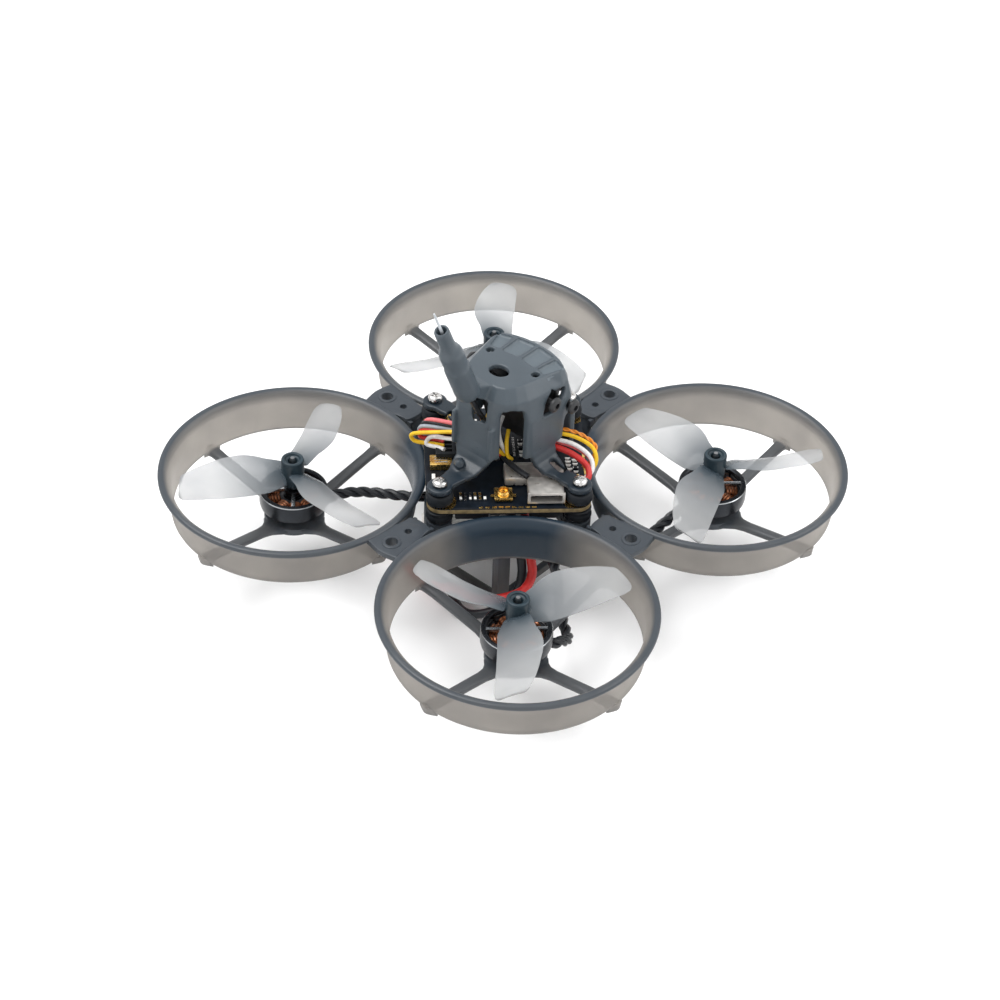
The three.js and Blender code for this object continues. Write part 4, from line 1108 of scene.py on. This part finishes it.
def canopy_leg(turn, spread, narrow, top):
    """A plate that comes down from the skirt, and a narrower foot that runs out to the post."""
    stations = [(-9.8, spread, top + 1, 1.3, 0), (-10.1, spread - 0.2, top - 1.4, 1.3, -0.2),
                (-10.8, narrow + 0.4, FOOT_TOP + 1.2, 1, -0.7), (-12.6, narrow, FOOT_TOP + 0.3, 0.5, -1),
                (-14.4, narrow - 0.9, FOOT_TOP - 0.02, 0.1, -1.1), (-16.6, 1.9, FOOT_TOP, 0, -1.15),
                (-POST_OFFSET, 1.7, FOOT_TOP, 0, -1.15)]
    slope = loft([[Vector((-half, y, z)), Vector((half, y, z)), Vector((half, y + inward, z + rise)),
                   Vector((-half, y + inward, z + rise))] for y, half, z, inward, rise in stations])
    pad = moved(disc(2.5, FOOT_BOTTOM, FOOT_TOP, 0.2), 0, -POST_OFFSET)
    return [moved(slope, turn=turn), moved(pad, turn=turn)]


def tilt_slot(side):
    """Cutter for the curved slot in one cheek, which the camera's lock screw runs in."""
    rows = []
    for radius in (TILT_RADIUS - 1.35, TILT_RADIUS + 1.35):
        turns = [radians(128 + 6 * k) for k in range(8)]
        rows.append([(PIVOT.y + radius * cos(a), PIVOT.z + radius * sin(a)) for a in turns])
    outline = rows[0] + rows[1][::-1]
    return loft([[Vector((side * x, y, z)) for y, z in outline] for x in (6.5, 12)])


def canopy_openings(side):
    """Cutters for one side: arches between the legs, slots and window of the cheek, pockets of the top."""
    window = rounded([[0.6, 45.3], [4.8, 46.2], [6.4, 44.6], [3.4, 42.6], [1.4, 42.2]], 1)
    top_hole = moved(rod(0.85, CANOPY_TOP - 3, CANOPY_TOP + 1, 24), side * 5.9, 1.1)
    pockets = [[[0.4, 3.2], [0.4, 8.6], [4.6, 8.0], [4.2, 2.6]],
               [[4.9, 2.9], [5.4, 7.6], [8.4, 6.6], [7.0, 2.2]]]
    cutters = [
        block(6.6, 7.4, 15, side * 8.6, -8.4, 30, 1.6),
        block(6.6, 5.4, 10, side * 8.6, 8.6, 28, 0.8),
        tilt_slot(side),
        loft([[Vector((side * x, p.x, p.y)) for p in window] for x in (8.6, 12)]),
        tilted(rod(1.15, -3, 3), (side * 9.6, PIVOT.y, PIVOT.z), Vector((1, 0, 0))),
        top_hole,
    ]
    for pocket in pockets:
        outline = [[side * x, y] for x, y in pocket]
        cutters.append(prism(outline, CANOPY_TOP - 0.75, CANOPY_TOP + 1, 0))
    return cutters


def antenna_sleeve():
    """The stepped sleeve that leans back over the tail and grips the antenna."""
    profile = [[0, 0.4], [1.7, 0.4], [2.3, 1.1], [2.5, 2.2], [2.55, 9.8], [2.35, 10.6], [2.4, 14.2],
               [2.2, 15.1], [1.75, 16.1], [1.55, 17.2], [1.5, 21.2], [1.35, 21.6], [0, 21.6]]
    sleeve = tilted(lathe(profile, 48), SLEEVE_FOOT, SLEEVE_LINE)
    low, high = SLEEVE_FOOT + SLEEVE_LINE * 0.7, SLEEVE_FOOT + SLEEVE_LINE * 4.4
    saddle = loft([[Vector((x * half, y, z)) for x, y, z in ((-1, *a), (1, *a), (1, *b), (-1, *b))]
                   for half, a, b in ((2.2, (-8.3, 45.6), (-6.9, 48.7)), (1.7, low.yz, high.yz))])
    return boolean(sleeve, [saddle], "UNION")


def canopy():
    outer = loft([level_ring(z, half, 0) for z, half in CANOPY_LEVELS])
    # The hollow runs out under the skirt and stops a wall's thickness below the top.
    drops = [1, 0, 0, CANOPY_WALL]
    inner = loft([level_ring(z - drop, half, CANOPY_WALL) for drop, (z, half) in zip(drops, CANOPY_LEVELS)])
    void = inner.copy()
    oval = rod(1.9, CANOPY_TOP - 3, CANOPY_TOP + 1, 40)
    oval.transform(Matrix.Diagonal((1.12, 0.92, 1, 1)))
    mouth = block(14.6, 8, 17, 0, 9.2, 29.6, 0.8)
    tail_window = block(3.6, 4, 5.4, 0.9, -9.6, 40.8, 0.9)
    cutters = [inner, mouth, moved(oval, 0, -2.9), tail_window, *canopy_openings(-1), *canopy_openings(1)]
    shell = boolean(outer, cutters, "DIFFERENCE")
    extra = [*canopy_leg(0, 4.8, 3.2, LEG_TOP), *canopy_leg(90, 3.6, 2.6, LEG_TOP),
             *canopy_leg(270, 3.6, 2.6, LEG_TOP), *canopy_leg(180, 6.6, 4.4, NOSE_LEG_TOP)]
    for side in (-1, 1):
        extra.append(block(2.6, 1.6, 10.4, side * 8.4, 8.8, 29.4, 0.3))
        extra.append(block(1.0, 1.6, 8, side * 4.7, -9.9, 33, 0.3))
    boss = disc(0.95, 0, 2.4, 0.2, 20)
    extra.append(tilted(boss, Vector((-1.9, -12.2, FOOT_TOP + 0.7)), Vector((0.75, -0.5, 0.35)).normalized()))
    extra.append(boolean(antenna_sleeve(), [void], "DIFFERENCE"))
    whole = boolean(shell, extra, "UNION")
    bores = [tilted(rod(1.0, -12, 30), SLEEVE_FOOT, SLEEVE_LINE)]
    for k in range(4):
        bores.append(quartered(rod(1, FOOT_BOTTOM - 1, FOOT_TOP + 2), POST_OFFSET, k))
    for turn in (90, 270):
        bores.append(moved(block(1.5, 3.6, 5, 0.9, -12.9, FOOT_BOTTOM - 1, 0.3), turn=turn))
    whole = moulding(boolean(whole, bores, "DIFFERENCE"), 0.26, 4)

    def tone(co):
        if CANOPY_TOP - 0.95 < co.z < CANOPY_TOP - 0.4 and co.y > 2.2 and abs(co.x) < 8.4:
            return POCKET_TONE
        if co.z > CANOPY_TOP + 1:
            return SLEEVE_TONE
        # Painted shade: the legs darken over their last 4 mm above the foot, in place of the black dampers
        # showing through them.
        foot = min(max((FOOT_TOP + 4 - co.z) / 4, 0), 1)
        return SHELL_TONE + (1 - SHELL_TONE) * foot

    piece("canopy_shell", whole, CANOPY, "frame", ["canopy"], 60, tone)


def antenna_whip():
    profile = [[0, 0], [WHIP_RADIUS, 0], [WHIP_RADIUS, WHIP_LENGTH], [0, WHIP_LENGTH]]
    whip = lathe(rounded(profile, 2, False), 16)
    start = SLEEVE_FOOT + SLEEVE_LINE * 2
    piece("whip", tilted(whip, start, SLEEVE_LINE), WHIP, "frame", ["antenna_whip"])


canopy()
antenna_whip()


# ---------------------------------------------------------------- camera on board

CAMERA_PLACE = Vector((0, 3.8, 38.8))
CAMERA_TILT = radians(15)


def aimed(bm, along_z=True):
    """Puts a camera part in place: made along Z towards the nose, or upright in the camera's own frame."""
    if along_z:
        facing_nose(bm)
    bm.transform(Matrix.Translation(CAMERA_PLACE) @ Matrix.Rotation(CAMERA_TILT, 4, "X"))
    return bm


def camera_body():
    """The housing with its seam and corner bolts, and the collar that the lens sits in."""
    body = block(13, 9, 12.4, 0, 0, -6.2, 0.7)
    face = block(11.4, 1, 10.8, 0, 4.6, -5.4, 0.3)
    collar = facing_nose(lathe([[4.6, 3.5], [5, 3.5], [5, 6.1], [4.85, 6.2], [4.6, 6.2]], 56))
    tube_hole = facing_nose(rod(4.6, 1.4, 12, 56))
    seam = boolean(block(13.4, 0.3, 12.8, 0, -1.8, -6.4, 0), [block(12.5, 1, 11.9, 0, -1.8, -5.95, 0)],
                   "DIFFERENCE")
    whole = boolean(boolean(body, [face], "UNION"), [tube_hole, seam], "DIFFERENCE")
    bolts = []
    for x in (-5.3, 5.3):
        for z in (-4.8, 4.8):
            bolt = facing_nose(paint(disc(0.6, 0, 0.35, 0.12, 16), 1))
            bolts.append(moved(bolt, x, 4.95, z))
    shell = aimed(combine([whole, collar, *bolts]), False)
    piece("camera_body", shell, [SHELL, STEEL], "camera", ["camera_housing"])


def lens():
    """The knurled barrel and the domed front glass."""
    profile = [[2.6, 2.2], [4.3, 2.2], [4.3, 6.4], [4.6, 6.7], [4.6, 7], [4.45, 7.1], [4.45, 7.5], [4.6, 7.6],
               [4.6, 9.2], [4.3, 9.6], [3.7, 9.6], [3.45, 8.9], [3.35, 8], [2.6, 8]]
    barrel = lathe(profile, 64)
    knurls = [moved(block(0.3, 0.3, 1.3, 4.62, 0, 7.75, 0.08), turn=9 * k) for k in range(40)]
    piece("lens_ring", aimed(combine([barrel, *knurls])), SHELL, "camera", ["lens_barrel"])
    dome = lathe([[0, 8.1], [3.3, 8.1], [3.3, 8.35], [2.9, 8.75], [2.2, 9.15], [1.3, 9.4], [0.6, 9.5],
                  [0, 9.52]], 56)
    piece("front_glass", aimed(dome), GLASS, "camera", ["lens_glass"])


def camera_screws():
    for side, name in ((-1, "left"), (1, "right")):
        for kind in ("pivot", "lock"):
            low, high = corners_of(f"camera_{kind}_screw_{name}")
            middle = (low + high) / 2
            outside = side * 10.65
            head = lathe([[0, 0], [1.5, 0], [1.6, 0.15], [1.5, 0.55], [1.1, 0.82], [0.7, 0.9], [0, 0.9]], 32)
            socket = lathe([[0, 0.35], [0.62, 0.35], [0.62, 2], [0, 2]], 6)
            shank = rod(0.7, -6, 0.2, 20)
            screw = boolean(boolean(head, [shank], "UNION"), [socket], "DIFFERENCE")
            screw = tilted(screw, Vector((outside, middle.y, middle.z)), Vector((side, 0, 0)))
            piece(f"{kind}_screw_{name}", screw, SHELL, "camera", [f"camera_{kind}_screw_{name}"])


camera_body()
lens()
camera_screws()


# ---------------------------------------------------------------- wires

def wire(points, radius, number):
    return paint(sweep(smooth_path(points, 5), radius, 10), number)


def twisted(points, strands, radius, pitch):
    """Strands wound round each other along a route."""
    path = smooth_path(points, 10)
    bodies = []
    for strand in range(strands):
        side = None
        travelled = 0
        line = []
        for k, point in enumerate(path):
            ahead = (path[min(k + 1, len(path) - 1)] - path[max(k - 1, 0)]).normalized()
            side = ahead.orthogonal().normalized() if side is None else side
            side = (side - ahead * side.dot(ahead)).normalized()
            travelled += (point - path[k - 1]).length if k else 0
            angle = TAU * (travelled / pitch + strand / strands)
            line.append(point + (side * cos(angle) + ahead.cross(side) * sin(angle)) * radius * 1.08)
        bodies.append(sweep(line, radius, 8))
    return bodies


FRONT_ROUTE = [[27, 24.4, 13.3], [27.1, 19, 13.1], [27.1, 13, 12.8], [26.2, 8.8, 12.8],
               [22.5, 6.6, 13], [17, 5.8, 13.2], [12.8, 5, 13.6], [10.6, 4.3, 15.4], [9.8, 4.2, 19],
               [9.9, 4.8, 24.3]]
REAR_LEFT_ROUTE = [[-27, -24.4, 13.3], [-26.8, -21.5, 13.4], [-24.6, -18, 13.4], [-21, -14.8, 13.3],
                   [-17, -12, 13.2], [-13.6, -9, 13.2], [-11.2, -6.2, 13.4], [-9.9, -4.4, 15.2],
                   [-9.7, -4.2, 19], [-9.9, -4.8, 24.3]]
REAR_RIGHT_ROUTE = [[33.6, -25.2, 13.3], [34.6, -22.2, 12.6], [33.4, -18.6, 10.4], [30, -15.8, 9.9],
                    [26, -12.5, 10.6], [22, -8.6, 12.8], [17.8, -5.6, 13.2], [13.6, -3.4, 13.4],
                    [11.5, -2.4, 15.2], [11.2, -2.4, 19], [11.4, -3, 24.3]]
MOTOR_ROUTES = {
    "front_left": [[-x, y, z] for x, y, z in FRONT_ROUTE],
    "front_right": FRONT_ROUTE,
    "rear_left": REAR_LEFT_ROUTE,
    "rear_right": REAR_RIGHT_ROUTE,
}
MOTOR_WIRE_RADIUS = 0.55
MOTOR_WIRE_PITCH = 8
THIN_WIRE = 0.42

# Where the left loop's wires start under the canopy, and the outer point of each one's bend.
LEFT_STARTS = [(-3.2, -4.8, 34), (-3.4, -4.6, 33.2), (-3.6, -4.8, 32.6), (-3.9, -5, 32),
               (-4.2, -6.4, 33.6), (-4.4, -7, 31.4)]
LEFT_BENDS = [(-13.2, -8.6, 33), (-13.8, -9, 32.2), (-14.1, -9.7, 31.4), (-14, -9.9, 30.6),
              (-14.9, -11.7, 30), (-12, -9.4, 29.6)]

# Radius, number of the colour and route of the other thin wires.
RIGHT_WIRES = [
    (THIN_WIRE, 1, [[4.6, 4.2, 33], [8.4, 5.4, 33.6], [12, 7.4, 33.2], [15.4, 8.6, 31.6],
                    [17, 7.8, 29.6], [16.6, 6.2, 27.4]]),
    (0.45, 2, [[4.6, 3.6, 32], [8.6, 4.6, 32.6], [12.6, 6.4, 32.2], [16, 7.2, 30.4],
               [17.4, 6.2, 28.6], [17, 4.6, 27.3]]),
    (0.62, 3, [[4.8, 2.8, 30.8], [8.8, 3.8, 31.4], [13, 5.2, 30.8], [16.4, 5.8, 29.2],
               [17.8, 4.6, 27.9], [17.2, 2.6, 26.9]]),
    (THIN_WIRE, 4, [[4.8, 3.8, 31.4], [9, 5, 31.9], [13, 6.8, 31.2], [16, 7.6, 29.4], [16.6, 6.4, 27.4]]),
]
ORANGE_PAIR = [[5, 4.6, 33.8], [9, 6.6, 34.2], [12.6, 8.6, 33.4], [15.4, 9.4, 31.6], [15.6, 8, 29],
               [14.4, 7, 27.2]]
INSIDE_WIRES = [
    (THIN_WIRE, 0, [[-2.6, -2.4, 37], [-1.6, -4.6, 35.4], [0.4, -5.6, 34], [2.4, -5.2, 32], [3.4, -3.6, 30]]),
    (THIN_WIRE, 1, [[-2, -2.2, 36], [0, -4.8, 34.6], [2.2, -5.4, 32.4], [2.6, -4, 29.8]]),
    (0.5, 2, [[-3, -2.6, 35], [-1.6, -5, 33.2], [0.6, -5.8, 31.6], [2, -4.6, 29]]),
    (0.4, 0, [[2.6, -2.4, 35.6], [3.6, -4, 34], [4.4, -4.6, 31.6], [4.2, -3, 29.4]]),
    (THIN_WIRE, 3, [[0.5, -1.8, 37.5], [1.6, -4.2, 36], [3, -4.8, 33.4], [3.4, -3.4, 30.4]]),
]
ANTENNA_LEAD = [[0, -12, 49], [0, -11.2, 47], [0.2, -10, 44.6], [0.1, -8.4, 41.6], [-0.6, -6.2, 38.5],
                [-0.2, -4.2, 34.8], [1, -3.8, 31.6], [3.6, -4.2, 29.8], [6.8, -4.3, 29], [9.6, -4.2, 28.6]]


def motor_leads():
    for name, route in MOTOR_ROUTES.items():
        strands = twisted(route, 3, MOTOR_WIRE_RADIUS, MOTOR_WIRE_PITCH)
        piece(f"motor_leads_{name}", combine(strands), BLACK_WIRE, "frame",
              [f"motor_cable_{name}"])


def harness_left():
    """Thin wires that loop out of the rear left arch and back to their plug."""
    left = []
    for k, (start, bend) in enumerate(zip(LEFT_STARTS, LEFT_BENDS)):
        plug = Vector((*on_board(-12.3, -0.6 + PLUG_PITCH * (5 - k)), 28.4))
        bend = Vector(bend)
        middle = Vector(start).lerp(bend, 0.5) + Vector((0, -0.4, 0.5))
        turn_back = bend.lerp(plug, 0.35) + Vector((-1.6, -0.8, -0.9))
        drop = bend.lerp(plug, 0.75) + Vector((-0.5, 0, -0.5))
        left.append(wire([start, middle, bend, turn_back, drop, plug], THIN_WIRE, k))
    colours = [PINK_WIRE, BLACK_WIRE, GREY_WIRE, RED_WIRE, YELLOW_WIRE, WHITE_WIRE]
    piece("harness_left", combine(left), colours, "frame", ["camera_cable_left"])


def harness_right():
    """Thin wires that loop out of the front right arch and back to the board."""
    right = [wire(route, radius, number) for radius, number, route in RIGHT_WIRES]
    right += twisted(ORANGE_PAIR, 2, 0.2, 3.4)
    colours = [ORANGE_WIRE, YELLOW_WIRE, WHITE_WIRE, RED_WIRE, PINK_WIRE]
    piece("harness_right", combine(right), colours, "frame", ["camera_cable_right"])


def harness_inside():
    inside = [wire(route, radius, number) for radius, number, route in INSIDE_WIRES]
    colours = [YELLOW_WIRE, RED_WIRE, BLACK_WIRE, WHITE_WIRE]
    piece("harness_inside", combine(inside), colours, "frame")


def antenna_lead():
    lead = wire(ANTENNA_LEAD, 0.6, 0)
    piece("antenna_lead", lead, BLACK_WIRE, "frame", ["antenna_cable"])


motor_leads()
harness_left()
harness_right()
harness_inside()
antenna_lead()


# ---------------------------------------------------------------- stage

def stage():
    material, tree, shader = new_material("pale_floor")
    colour = ramp(tree, grain(tree, 6), [(0.3, (0.90, 0.90, 0.905)), (0.7, (0.93, 0.93, 0.93))])
    feed(tree, shader, {"Base Color": colour, "Roughness": 0.6, "Specular IOR Level": 0.2})
    bm = bmesh.new()
    bmesh.ops.create_grid(bm, x_segments=8, y_segments=8, size=3)
    mesh = mesh_of(bm, "floor")
    mesh.materials.append(material)
    floor = in_scene("floor", mesh)
    world = bpy.data.worlds.new("studio")
    world.use_nodes = True
    sky = world.node_tree
    feed(sky, sky.nodes["Background"], {"Color": (1, 1, 1), "Strength": 0.95})
    bpy.context.scene.world = world
    for name, place, size, power in (("key", (-0.35, -0.25, 0.9), 0.7, 9), ("fill", (0.6, 0.5, 0.7), 0.8, 5)):
        data = bpy.data.lights.new(name, "AREA")
        data.size = size
        data.energy = power
        lamp = in_scene(name, data)
        lamp.location = place
        lamp.rotation_euler = Vector(place).to_track_quat("Z", "Y").to_euler()
    bpy.context.scene.view_settings.view_transform = "Standard"


stage()
